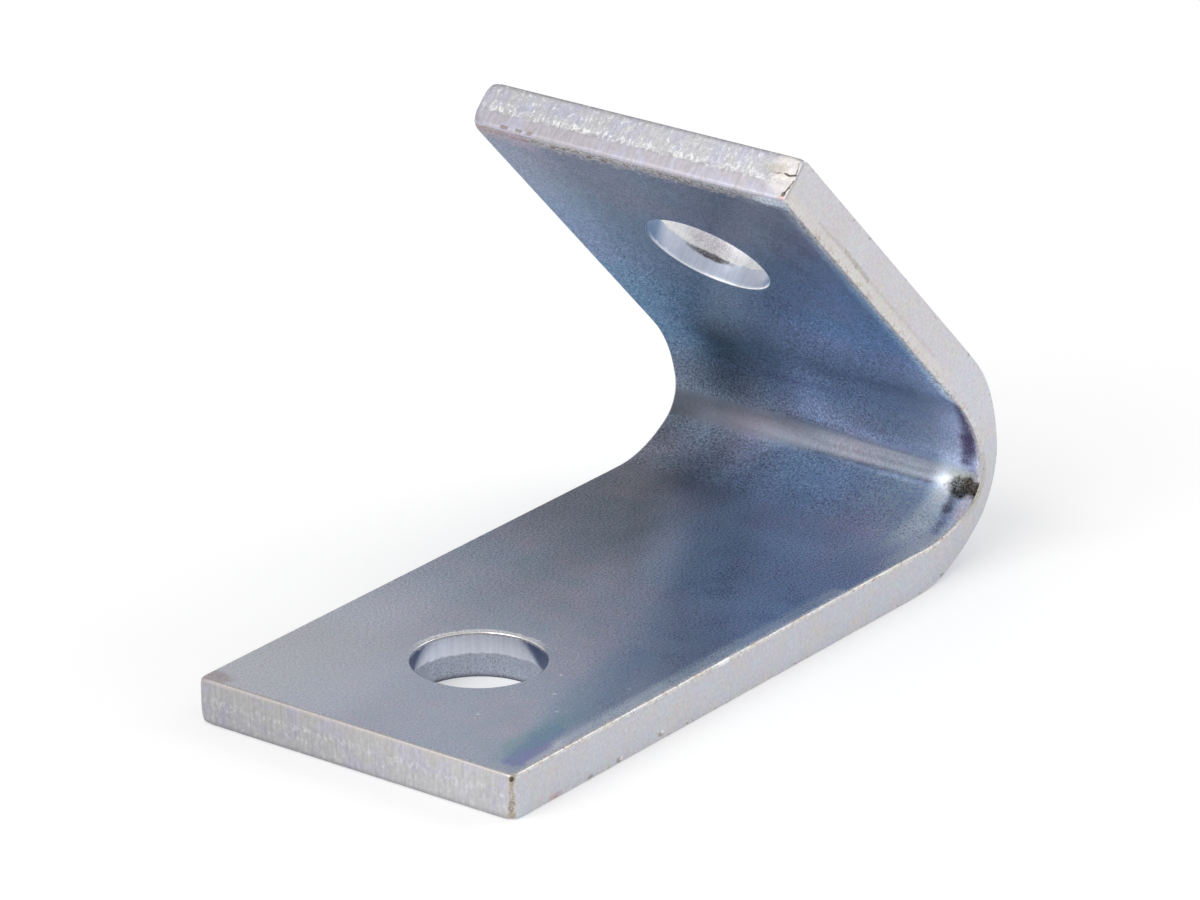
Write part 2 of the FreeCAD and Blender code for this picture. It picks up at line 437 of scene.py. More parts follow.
@dataclass
class FoldedBar:
    """The fitting's bar: its blank, the fold and its finishes."""

    name: str = "folded_bar"
    sizes: BarSizes = field(default_factory=BarSizes)
    plain_step: float = 0.6 * MM
    bend_step: float = 0.4 * MM
    corner_step: float = 0.125 * MM
    border_step: float = 0.25 * MM
    wall_step: float = 0.25 * MM
    roll_steps: int = 4
    patch_half: float = 10.0 * MM
    patch_steps: int = 32
    patch_rings: tuple[float, ...] = (0.03, 0.1, 0.22, 0.38, 0.56, 0.77)
    hole_seams: Pair = (-143.0, -35.0)
    coarse_per_mm: float = 0.8
    fine_per_mm: float = 1.7
    coarse_share: float = 0.6
    plain_ragged: float = 0.15

    def __post_init__(self) -> None:
        """Sets out the fold and the blank's grid lines."""
        sizes = self.sizes
        self.path = FoldPath(sizes)
        self.blank = BlankMesh()
        length, half = self.path.length, sizes.width / 2
        corner, worn = sizes.corner_radius, sizes.worn_corner_radius
        patch = self.patch_half
        patch_step = 2 * patch / self.patch_steps
        hole, far_hole = sizes.base_hole_to_end, length - sizes.brace_hole_to_end
        self.runs = spread([
            (0.0, 0.0),
            (corner, self.corner_step),
            (worn, self.border_step),
            (hole - patch, self.plain_step),
            (hole + patch, patch_step),
            (sizes.base_flat - sizes.swell_runout, self.plain_step),
            (length - sizes.brace_flat + sizes.swell_runout, self.bend_step),
            (far_hole - patch, self.plain_step),
            (far_hole + patch, patch_step),
            (length - worn, self.plain_step),
            (length - corner, self.border_step),
            (length, self.corner_step),
        ])
        self.acrosses = spread([
            (-half, 0.0),
            (corner - half, self.corner_step),
            (worn - half, self.border_step),
            (-patch, self.plain_step),
            (patch, patch_step),
            (half - worn, self.plain_step),
            (half - corner, self.border_step),
            (half, self.corner_step),
        ])

    def outline_point(self, mark: GridMark, inset: float) -> tuple[Plan, Plan]:
        """Moves a grid point to a plan with round corners.

        Args:
            mark: The numbers of its grid lines.
            inset: How far the plan's edge lies inside the bar's outline.

        Returns:
            The point's run and across, and the direction out of the plan there.
        """
        sizes = self.sizes
        run, across = self.runs[mark[0]], self.acrosses[mark[1]]
        half, length = sizes.width / 2, self.path.length
        at_base, at_near = run < length / 2, across < 0
        corner = sizes.worn_corner_radius if at_base and at_near else sizes.corner_radius
        end_side, edge_side = (-1.0 if at_base else 1.0), (-1.0 if at_near else 1.0)
        reach = corner - inset
        gaps = (min(run, length - run), half - abs(across))
        out = (end_side, 0.0) if gaps[0] < gaps[1] else (0.0, edge_side)
        from_end, from_edge = (inset + gap * reach / corner if gap < corner else gap for gap in gaps)
        if from_end < corner and from_edge < corner:
            a, b = (corner - from_end) / reach, (corner - from_edge) / reach
            round_end = a * math.sqrt(1 - b * b / 2)
            round_edge = b * math.sqrt(1 - a * a / 2)
            from_end, from_edge = corner - reach * round_end, corner - reach * round_edge
            size = math.hypot(round_end, round_edge)
            out = (end_side * round_end / size, edge_side * round_edge / size)
        run = from_end if at_base else length - from_end
        return (run, edge_side * (half - from_edge)), out

    def ragged(self, run: float, across: float, depth: float, end_share: float) -> float:
        """Gives how far the bar's edge stands back from its clean line.

        Args:
            run: Distance along the bar from the base leg's free end.
            across: Distance across the width from its middle.
            depth: Distance below the inside face.
            end_share: 1 on a cropped end and 0 on a long edge.

        Returns:
            The distance back, never negative.
        """
        sizes = self.sizes
        torn = min(1.0, max(0.0, (depth - sizes.crop_land) / sizes.inside_edge))
        place = Vector((run, across, depth)) / MM
        coarse = 0.5 + 0.5 * noise.noise(place * self.coarse_per_mm)
        fine = 0.5 + 0.5 * noise.noise(place * self.fine_per_mm)
        share = self.plain_ragged + (1 - self.plain_ragged) * torn * end_share
        torn_back = self.coarse_share * coarse + (1 - self.coarse_share) * fine
        return sizes.torn_depth * share * torn_back * min(1.0, depth / sizes.inside_edge)

    def patch_corners(self) -> tuple[GridMark, GridMark]:
        """Finds the square of the grid round each hole.

        Returns:
            The first grid line along and across, of the base leg's square and
            of the brace leg's.
        """
        column = nearest(self.acrosses, -self.patch_half)
        first = self.sizes.base_hole_to_end - self.patch_half
        second = self.path.length - self.sizes.brace_hole_to_end - self.patch_half
        return (nearest(self.runs, first), column), (nearest(self.runs, second), column)

    def face_sheet(self, depth: float, inset: float, kind: Surface) -> dict[GridMark, int]:
        """Builds the grid of the inside or outside face, open round the holes.

        Args:
            depth: The face's depth below the inside face.
            inset: How far its edge lies inside the bar's outline.
            kind: The kind of surface.

        Returns:
            The number of the point at each pair of grid lines.
        """
        open_cells, hidden = set(), set()
        steps = self.patch_steps
        for row, column in self.patch_corners():
            open_cells |= {(row + i, column + j) for i in range(steps) for j in range(steps)}
            hidden |= {(row + i, column + j) for i in range(1, steps) for j in range(1, steps)}
        rows, columns = len(self.runs), len(self.acrosses)
        grid: dict[GridMark, int] = {}
        for mark in ((i, j) for i in range(rows) for j in range(columns)):
            if mark not in hidden:
                place, _ = self.outline_point(mark, inset)
                grid[mark] = self.blank.point(*place, depth)
        for i, j in ((i, j) for i in range(rows - 1) for j in range(columns - 1)):
            if (i, j) not in open_cells:
                corners = (grid[i, j], grid[i + 1, j], grid[i + 1, j + 1], grid[i, j + 1])
                self.blank.quad(corners if kind is Surface.INSIDE else corners[::-1], kind)
        return grid

    def edge_band(self, top: dict[GridMark, int], bottom: dict[GridMark, int]) -> None:
        """Builds the band round the blank, from the inside face to the outside face.

        Args:
            top: Points of the inside face.
            bottom: Points of the outside face.
        """
        border = ring_of(0, 0, len(self.runs) - 1, len(self.acrosses) - 1)
        places = [self.outline_point(mark, 0.0) for mark in border]
        kinds = []
        for (run, _), (out_run, _) in places:
            end = Surface.BASE_END if run < self.path.length / 2 else Surface.BRACE_END
            kinds.append(end if abs(out_run) > 0.5 else Surface.LONG_EDGE)
        rings = [[top[mark] for mark in border]]
        for out_by, depth in self.edge_profile():
            ring = []
            for (run, across), (out_run, out_across) in places:
                by = out_by - self.ragged(run, across, depth, out_run * out_run)
                ring.append(self.blank.point(run + by * out_run, across + by * out_across, depth))
            rings.append(ring)
        rings.append([bottom[mark] for mark in border])
        for upper, lower in zip(rings, rings[1:]):
            self.blank.ladder(lower, upper, kinds)

    def edge_profile(self) -> list[Pair]:
        """Steps down the bar's edge, from the inside face to the outside face.

        Returns:
            For each step, the distance out from the outline and the depth.
        """
        sizes = self.sizes
        small, large, thick = sizes.inside_edge, sizes.outside_edge, sizes.thickness
        turns = [math.pi / 2 * index / self.roll_steps for index in range(1, self.roll_steps + 1)]
        upper = [(small * (math.sin(turn) - 1), small * (1 - math.cos(turn))) for turn in turns]
        wall = [(0.0, depth) for depth in spread([(small, 0.0), (thick - large, self.wall_step)])[1:]]
        lower = [(large * (math.cos(turn) - 1), thick - large * (1 - math.sin(turn))) for turn in turns]
        return upper + wall + lower[:-1]

    def hole_profile(self) -> list[Pair]:
        """Steps down a punched hole's wall, from its rim to the outside face.

        Returns:
            For each step, the radius and the depth.
        """
        sizes = self.sizes
        radius, roll, thick = sizes.hole_diameter / 2, sizes.rim_roll, sizes.thickness
        broken = radius + sizes.break_opening
        slope_end = sizes.land_depth + sizes.break_slope_depth
        turns = [math.pi / 2 * index / self.roll_steps for index in range(self.roll_steps + 1)]
        rim = [(radius + roll * (1 - math.sin(turn)), roll * (1 - math.cos(turn))) for turn in turns]
        land = [(radius, depth) for depth in spread([(roll, 0.0), (sizes.land_depth, self.wall_step)])[1:]]
        torn = [(broken, depth) for depth in spread([(slope_end, 0.0), (thick, self.wall_step)])]
        return rim + land + torn

    def hole(self, hole: Surface, corner: GridMark, seam: float, top: dict[GridMark, int],
             bottom: dict[GridMark, int]) -> None:
        """Builds one hole: its wall, and the rings that join it to both faces.

        Args:
            hole: Which hole it is.
            corner: First grid lines of the square round the hole.
            seam: Direction on the blank, in degrees, where its wall's map is cut.
            top: Points of the inside face.
            bottom: Points of the outside face.
        """
        marks = ring_of(*corner, corner[0] + self.patch_steps, corner[1] + self.patch_steps)
        centre = self.runs[corner[0]] + self.patch_half
        square = [(self.runs[i] - centre, self.acrosses[j]) for i, j in marks]
        radius = self.sizes.hole_diameter / 2
        profile = self.hole_profile()

        def ring(size: float, depth: float, share: float) -> list[int]:
            """Adds a ring of points between the circle and the square.

            Args:
                size: The circle's radius.
                depth: Depth below the inside face.
                share: Share of the way out to the square.

            Returns:
                The points' numbers.
            """
            numbers = []
            for along_bar, across in square:
                scale = size / math.hypot(along_bar, across)
                scale += share * (1 - scale)
                number = self.blank.point(centre + along_bar * scale, across * scale, depth)
                turn = (math.degrees(math.atan2(across, along_bar)) - seam) % 360.0
                self.blank.wraps[number] = (math.radians(turn - 180.0) * radius, depth)
                numbers.append(number)
            return numbers

        rings = [[top[mark] for mark in marks]]
        rings += [ring(profile[0][0], 0.0, share) for share in reversed(self.patch_rings)]
        rings += [ring(size, depth, 0.0) for size, depth in profile]
        rings += [ring(profile[-1][0], self.sizes.thickness, share) for share in self.patch_rings]
        rings += [[bottom[mark] for mark in marks]]
        kinds = [Surface.INSIDE] * (len(self.patch_rings) + 1) + [hole] * (len(profile) - 1)
        kinds += [Surface.OUTSIDE] * (len(self.patch_rings) + 1)
        for outer, inner, kind in zip(rings, rings[1:], kinds):
            self.blank.ladder(outer, inner, [kind] * len(marks))

    def build(self) -> bpy.types.Object:
        """Builds the blank, folds it and stands it for the construction solid.

        Returns:
            The bar's object.
        """
        sizes = self.sizes
        top = self.face_sheet(0.0, sizes.inside_edge, Surface.INSIDE)
        bottom = self.face_sheet(sizes.thickness, sizes.outside_edge, Surface.OUTSIDE)
        self.edge_band(top, bottom)
        for hole, corner, seam in zip(HOLES, self.patch_corners(), self.hole_seams):
            self.hole(hole, corner, seam, top, bottom)
        mesh = bpy.data.meshes.new(self.name)
        folded = [self.path.place(*point) for point in self.blank.points]
        mesh.from_pydata(folded, [], self.blank.quads)
        mesh.polygons.foreach_set("use_smooth", [True] * len(mesh.polygons))
        mesh.polygons.foreach_set("material_index", [kind.value for kind in self.blank.kinds])
        self.map_blank(mesh)
        bar = bpy.data.objects.new(self.name, mesh)
        bpy.context.scene.collection.objects.link(bar)
        even = bar.modifiers.new("even_shading", "WEIGHTED_NORMAL")
        even.keep_sharp = True
        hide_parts("angle_fitting")
        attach(bar, "root")
        return bar

    def blank_place(self, number: int, kind: Surface) -> Plan:
        """Gives a point's place on the blank, as its kind of surface measures it.

        Args:
            number: The point's number.
            kind: The kind of surface: faces take run and across, a long edge
                run and depth, an end across and depth, and a hole the way
                round its wall and depth.

        Returns:
            The place.
        """
        run, across, depth = self.blank.points[number]
        if kind in HOLES:
            return self.blank.wraps[number]
        if kind in ENDS:
            return across, depth
        return (run, depth) if kind is Surface.LONG_EDGE else (run, across)

    def map_blank(self, mesh: bpy.types.Mesh) -> None:
        """Writes each point's place on the blank, in millimetres, as a UV map.

        Args:
            mesh: The folded mesh, in the blank's order of points and quads.
        """
        layer = mesh.uv_layers.new(name="blank_mm")
        way_round = math.pi * self.sizes.hole_diameter
        for polygon, kind in zip(mesh.polygons, self.blank.kinds):
            numbers = [mesh.loops[loop].vertex_index for loop in polygon.loop_indices]
            places = [self.blank_place(number, kind) for number in numbers]
            furthest = max(place[0] for place in places)
            for loop, (first, second) in zip(polygon.loop_indices, places):
                if kind in HOLES and furthest - first > way_round / 2:
                    first += way_round
                layer.data[loop].uv = (first / MM, second / MM)

    def dress(self, bar: bpy.types.Object, finishes: dict[Surface, bpy.types.Material]) -> None:
        """Puts a finish on each kind of surface.

        Args:
            bar: The bar's object.
            finishes: The material for each kind.
        """
        for kind in Surface:
            bar.data.materials.append(finishes[kind])


@dataclass(frozen=True)
class Blot:
    """A patch of another tone, in millimetres on the blank."""

    middle: Plan
    half: Plan
    tone: Colour
    share: float = 1.0
    soft: float = 0.4
    ragged: float = 0.3
    speckle: float = 0.0


@dataclass(frozen=True)
class Stroke:
    """A thin line of another tone, in millimetres on the blank."""

    start: Plan
    end: Plan
    half: float
    tone: Colour
    share: float = 1.0
    soft: float = 0.1
    ragged: float = 0.0
    speckle: float = 0.0


Marks = tuple[Blot | Stroke, ...]


@dataclass(frozen=True)
class Ramp:
    """A smooth change from one level to another; low may lie above high."""

    low: float
    high: float
    start: float = 0.0
    end: float = 1.0


@dataclass(frozen=True)
class Stripe:
    """A level of 1 over a stripe, which fades to 0 on both sides."""

    centre: float
    half: float
    soft: float


@dataclass(frozen=True)
class Zone:
    """A soft-edged zone of the blank: all its shapes' levels multiplied, and the most it reaches."""

    along: tuple[Ramp | Stripe, ...]
    across: tuple[Ramp | Stripe, ...] = ()
    most: float = 1.0


@dataclass(frozen=True)
class Scatter:
    """Spots scattered by a noise, between some depths below the inside face."""

    noise: Noise
    share: Ramp
    depth: Ramp


@dataclass(frozen=True)
class Tint:
    """A colour to multiply by, and the zone that it holds in."""

    zone: Zone
    colour: Colour


class NodeSheet:
    """A node tree, with short calls for the nodes used here."""

    def __init__(self, name: str, tree: bpy.types.NodeTree | None = None) -> None:
        """Starts an empty material, or empties the tree that it is given.

        Args:
            name: The material's name.
            tree: The node tree of something that isn't a material.
        """
        self.material = None
        if tree is None:
            self.material = bpy.data.materials.new(name)
            self.material.use_nodes = True
            tree = self.material.node_tree
        self.tree = tree
        self.tree.nodes.clear()
        self.wobble: Socket | None = None
        self.specks: Socket | None = None

    def rough_outlines(self, place: Socket, per_mm: float) -> None:
        """Makes the noise that frays the outlines of marks, and their speckles.

        Args:
            place: The position that it follows, in millimetres.
            per_mm: How many frays there are to a millimetre.
        """
        self.wobble = self.math("SUBTRACT", self.noise(place, per_mm, 3.0), 0.5)
        self.specks = self.noise(place, *SPECK_NOISE)

    def node(self, kind: str, **settings: object) -> bpy.types.Node:
        """Adds a node.

        Args:
            kind: The node type's name, without its prefix.
            **settings: The node's own properties.

        Returns:
            The new node.
        """
        node = self.tree.nodes.new(f"ShaderNode{kind}")
        for key, value in settings.items():
            setattr(node, key, value)
        return node

    def feed(self, socket: Socket, value: object) -> None:
        """Links a socket to another, or sets its value.

        Args:
            socket: The socket to feed.
            value: The socket to link it to, or its value.
        """
        if isinstance(value, Socket):
            self.tree.links.new(value, socket)
        else:
            socket.default_value = value

    def math(self, operation: str, *values: object) -> Socket:
        """Adds a sum of one to three values.

        Args:
            operation: The operation's name.
            *values: Sockets or numbers.

        Returns:
            The result's socket.
        """
        node = self.node("Math", operation=operation)
        for socket, value in zip(node.inputs, values):
            self.feed(socket, value)
        return node.outputs[0]

    def vector(self, operation: str, *values: object) -> bpy.types.Node:
        """Adds a sum of vectors.

        Args:
            operation: The operation's name.
            *values: Sockets or vectors.

        Returns:
            The sum's node.
        """
        node = self.node("VectorMath", operation=operation)
        for socket, value in zip(node.inputs, values):
            self.feed(socket, value)
        return node

    def place_mm(self) -> Socket:
        """Position on the object, in millimetres."""
        return self.stretch(self.node("TexCoord").outputs["Object"], (1 / MM, 1 / MM, 1 / MM))

    def blank_mm(self) -> Socket:
        """Position on the flat blank, in millimetres."""
        return self.node("UVMap", uv_map="blank_mm").outputs["UV"]

    def stretch(self, place: Socket, scales: Colour) -> Socket:
        """Multiplies a position by three numbers."""
        return self.vector("MULTIPLY", place, scales).outputs[0]

    def parts(self, place: Socket) -> tuple[Socket, ...]:
        """Splits a position into its three numbers.

        Args:
            place: The position.

        Returns:
            The three sockets.
        """
        node = self.node("SeparateXYZ")
        self.feed(node.inputs[0], place)
        return tuple(node.outputs)

    def cloud_node(self, place: Socket, *numbers: float) -> bpy.types.Node:
        """Adds the node of a cloud noise.

        Args:
            place: The position that it follows, in millimetres.
            *numbers: Its clouds to a millimetre, its finer layers and their strength.

        Returns:
            The node.
        """
        node = self.node("TexNoise")
        for name, value in zip(("Vector", "Scale", "Detail", "Roughness"), (place, *numbers)):
            self.feed(node.inputs[name], value)
        return node

    def noise(self, place: Socket, per_mm: float, detail: float = 3.0, rough: float = 0.55) -> Socket:
        """Adds cloud noise.

        Args:
            place: The position that it follows, in millimetres.
            per_mm: How many clouds there are to a millimetre.
            detail: Number of finer layers.
            rough: Strength of the finer layers.

        Returns:
            The noise, about 0.5 on average.
        """
        return self.cloud_node(place, per_mm, detail, rough).outputs["Fac"]

    def crystals(self, place: Socket, fineness: Noise, strength: float) -> Socket:
        """Adds the plating's fine crystals, each of a slightly different tint.

        Args:
            place: The position that it follows, in millimetres.
            fineness: The noise that they are drawn from.
            strength: Strength of their tints.

        Returns:
            The colour to multiply by, white on average.
        """
        tints = self.cloud_node(place, *fineness).outputs["Color"]
        base = 1.0 - strength / 2
        return self.vector("MULTIPLY_ADD", tints, (strength,) * 3, (base,) * 3).outputs[0]

    def ramp(self, value: Socket, low: float, high: float, start: float = 0.0, end: float = 1.0) -> Socket:
        """Turns a range of values smoothly into another.

        Args:
            value: The value to turn.
            low: Value that becomes start.
            high: Value that becomes end.
            start: Result at and below low.
            end: Result at and above high.

        Returns:
            The result's socket.
        """
        if low > high:
            low, high, start, end = high, low, end, start
        node = self.node("MapRange", interpolation_type="SMOOTHSTEP")
        for socket, number in zip(node.inputs, (value, low, high, start, end)):
            self.feed(socket, number)
        return node.outputs[0]

    def mix(self, share: object, first: object, second: object, blend: str = "MIX") -> Socket:
        """Mixes two colours.

        Args:
            share: Share of the second colour.
            first: The first colour, a socket or three numbers.
            second: The second colour, a socket or three numbers.
            blend: The way of mixing.

        Returns:
            The mixed colour.
        """
        node = self.node("Mix", data_type="RGBA", blend_type=blend)
        self.feed(node.inputs[0], share)
        for socket, colour in ((node.inputs[6], first), (node.inputs[7], second)):
            self.feed(socket, (*colour, 1.0) if isinstance(colour, tuple) else colour)
        return node.outputs[2]

    def shaded(self, colour: Socket, tone: Socket) -> Socket:
        """Multiplies a colour by a brightness."""
        return self.mix(1.0, colour, tone, "MULTIPLY")

    def product(self, *values: Socket) -> Socket:
        """Multiplies values together.

        Args:
            *values: The values, one or more.

        Returns:
            Their product.
        """
        result = values[0]
        for value in values[1:]:
            result = self.math("MULTIPLY", result, value)
        return result

    def band(self, value: Socket, centre: float, half: float, soft: float) -> Socket:
        """Marks a stripe of a value.

        Args:
            value: The value.
            centre: Middle of the stripe.
            half: Half its width.
            soft: Width over which it fades.

        Returns:
            1 inside the stripe and 0 outside it.
        """
        away = self.math("ABSOLUTE", self.math("SUBTRACT", value, centre))
        return self.ramp(away, half + soft, half, 0.0, 1.0)

    def curve(self, value: Socket, shape: Ramp | Stripe) -> Socket:
        """Gives the level of a ramp or a stripe.

        Args:
            value: The value that it follows.
            shape: The ramp or the stripe.

        Returns:
            The level.
        """
        if isinstance(shape, Stripe):
            return self.band(value, shape.centre, shape.half, shape.soft)
        return self.ramp(value, shape.low, shape.high, shape.start, shape.end)

    def zone(self, spot: Spot, *zones: Zone) -> Socket:
        """Adds up the levels of zones.

        Args:
            spot: The place on the blank: how far along it and across it.
            *zones: The zones.

        Returns:
            The sum of their levels.
        """
        total: Socket | None = None
        for zone in zones:
            levels = [self.curve(spot[0], shape) for shape in zone.along]
            levels += [self.curve(spot[1], shape) for shape in zone.across]
            level = self.math("MULTIPLY", self.product(*levels), zone.most)
            total = level if total is None else self.math("ADD", total, level)
        return total

    def scattered(self, place: Socket, depth: Socket, spots: Scatter) -> Socket:
        """Gives the share of scattered spots.

        Args:
            place: The position that their noise follows, in millimetres.
            depth: The depth below the inside face.
            spots: The spots.

        Returns:
            Their share.
        """
        share = self.curve(self.noise(place, *spots.noise), spots.share)
        return self.product(share, self.curve(depth, spots.depth))

    def less(self, value: Socket, share: Socket) -> Socket:
        """Takes a share off a value."""
        return self.product(value, self.math("SUBTRACT", 1.0, share))

    def grained(self, colour: Socket, grain: Socket, tones: Pair) -> Socket:
        """Makes a colour darker and lighter with a grain."""
        return self.shaded(colour, self.ramp(grain, *NOISE_SPAN, *tones))

    def blot(self, place: Socket, blot: Blot) -> Socket:
        """Gives the share of a blot at each place.

        Args:
            place: The place on the blank.
            blot: The blot.

        Returns:
            Its share.
        """
        offset = self.vector("SUBTRACT", place, (*blot.middle, 0.0)).outputs[0]
        scaled = self.vector("MULTIPLY", offset, (1 / blot.half[0], 1 / blot.half[1], 0.0)).outputs[0]
        away = self.vector("LENGTH", scaled).outputs["Value"]
        away = self.math("MULTIPLY_ADD", self.wobble, 2 * blot.ragged, away)
        centre = 1.0 + blot.ragged
        return self.ramp(away, centre + blot.soft, centre - blot.soft, 0.0, blot.share)

    def stroke(self, place: Socket, stroke: Stroke) -> Socket:
        """Gives the share of a stroke at each place.

        Args:
            place: The place on the blank.
            stroke: The stroke.

        Returns:
            Its share.
        """
        run, rise = stroke.end[0] - stroke.start[0], stroke.end[1] - stroke.start[1]
        square = run * run + rise * rise
        offset = self.vector("SUBTRACT", place, (*stroke.start, 0.0)).outputs[0]
        dot = self.vector("DOT_PRODUCT", offset, (run / square, rise / square, 0.0)).outputs["Value"]
        share = self.math("MINIMUM", self.math("MAXIMUM", dot, 0.0), 1.0)
        foot = self.node("CombineXYZ")
        self.feed(foot.inputs[0], self.math("MULTIPLY", share, run))
        self.feed(foot.inputs[1], self.math("MULTIPLY", share, rise))
        away = self.vector("DISTANCE", offset, foot.outputs[0]).outputs["Value"]
        if stroke.ragged:
            away = self.math("MULTIPLY_ADD", self.wobble, 2 * stroke.ragged, away)
        edge = stroke.half + stroke.ragged
        return self.ramp(away, edge + stroke.soft, edge, 0.0, stroke.share)

    def marked(self, colour: Socket, place: Socket, marks: Marks) -> tuple[Socket, Socket]:
        """Lays blots and strokes over a colour.

        Args:
            colour: The colour under them.
            place: The place on the blank.
            marks: The blots and strokes, the lowest first.

        Returns:
            The colour with them, and how much of them there is.
        """
        cover: Socket | None = None
        for mark in marks:
            share = self.blot(place, mark) if isinstance(mark, Blot) else self.stroke(place, mark)
            if mark.speckle:
                gaps = self.ramp(self.specks, *SPECKLE_SPAN, 1.0, 1.0 - mark.speckle)
                share = self.product(share, gaps)
            colour = self.mix(share, colour, mark.tone)
            cover = share if cover is None else self.math("MAXIMUM", cover, share)
        return colour, cover

    def bump(self, height: Socket, depth: float, under: Socket | None = None) -> Socket:
        """Adds relief.

        Args:
            height: The relief, from 0 to 1.
            depth: Its height in metres.
            under: A coarser relief that it lies on.

        Returns:
            The normal.
        """
        node = self.node("Bump")
        self.feed(node.inputs["Distance"], depth)
        self.feed(node.inputs["Height"], height)
        if under is not None:
            self.feed(node.inputs["Normal"], under)
        return node.outputs[0]

    def metal(self, colour: Socket, roughness: Socket, normal: Socket, grazing: Socket | None = None
              ) -> bpy.types.Material:
        """Ends the sheet in a metal shader.

        Args:
            colour: The metal's colour.
            roughness: Its roughness.
            normal: Its relief.
            grazing: Its colour where it is seen at a glancing angle.

        Returns:
            The finished material.
        """
        shader = self.node("BsdfPrincipled")
        shader.inputs["Metallic"].default_value = 1.0
        self.feed(shader.inputs["Base Color"], colour)
        self.feed(shader.inputs["Roughness"], roughness)
        self.feed(shader.inputs["Normal"], normal)
        if grazing is not None:
            self.feed(shader.inputs["Specular Tint"], grazing)
        output = self.node("OutputMaterial")
        self.feed(output.inputs["Surface"], shader.outputs[0])
        return self.material


@dataclass(frozen=True)
class PlatedFace:
    """Satin zinc over the rolled faces: faintly blue, cloudy and fine grained."""

    name: str = "outside_face"
    blue: Colour = (0.43, 0.50, 0.64)
    lilac: Colour = (0.49, 0.49, 0.63)
    teal: Colour = (0.39, 0.50, 0.61)
    smooth: float = 0.24
    cloudy: float = 0.38
    grain_noise: Noise = (3.6, 2.0, 0.7)
    cloud_noise: Noise = (0.13, 4.0)
    drift_noise: Noise = (0.31, 3.0)
    lilac_share: Ramp = Ramp(0.38, 0.66)
    teal_share: Ramp = Ramp(0.45, 0.75, 0.0, 0.6)
    haze_parts: Pair = (0.6, 0.5)
    haze_span: Pair = (0.3, 0.8)
    crystal_noise: Noise = (4.6, 1.5, 0.8)
    crystal_tints: float = 0.45
    grain_tones: Pair = (0.93, 1.06)
    grain_relief: float = 0.003 * MM
    swell_relief: float = 0.02 * MM

    def material(self) -> bpy.types.Material:
        """Makes the finish.

        Returns:
            The material.
        """
        sheet = NodeSheet(self.name)
        place = sheet.place_mm()
        grain = sheet.noise(place, *self.grain_noise)
        colour, roughness, swells = self.plain(sheet, place, grain)
        return self.finish(sheet, grain, swells, colour, roughness)

    def plain(self, sheet: NodeSheet, place: Socket, grain: Socket) -> tuple[Socket, Socket, Socket]:
        """Makes the plating's clouds, its roughness and its faint swells.

        Args:
            sheet: The material's sheet.
            place: Position on the object, in millimetres.
            grain: The plating's grain.

        Returns:
            The colour, the roughness and the swells.
        """
        clouds = sheet.noise(place, *self.cloud_noise)
        drift = sheet.noise(place, *self.drift_noise)
        colour = sheet.mix(sheet.curve(clouds, self.lilac_share), self.blue, self.lilac)
        colour = sheet.mix(sheet.curve(drift, self.teal_share), colour, self.teal)
        haze = sheet.math("MULTIPLY", drift, self.haze_parts[1])
        haze = sheet.math("MULTIPLY_ADD", grain, self.haze_parts[0], haze)
        return colour, sheet.ramp(haze, *self.haze_span, self.smooth, self.cloudy), drift

    def finish(self, sheet: NodeSheet, grain: Socket, swells: Socket, colour: Socket, roughness: Socket,
               grazing: Socket | None = None, calm: Socket | None = None) -> bpy.types.Material:
        """Adds the grain, its relief and the swells, and ends the sheet.

        Args:
            sheet: The material's sheet.
            grain: The plating's grain.
            swells: Its faint swells.
            colour: Its colour.
            roughness: Its roughness.
            grazing: Its colour at a glancing angle.
            calm: How much of the grain's relief is left, where it differs.

        Returns:
            The material.
        """
        crystals = sheet.crystals(sheet.place_mm(), self.crystal_noise, self.crystal_tints)
        colour = sheet.shaded(sheet.grained(colour, grain, self.grain_tones), crystals)
        if grazing is not None:
            grazing = sheet.shaded(grazing, crystals)
        height = grain if calm is None else sheet.product(grain, calm)
        relief = sheet.bump(height, self.grain_relief, sheet.bump(swells, self.swell_relief))
        return sheet.metal(colour, roughness, relief, grazing)


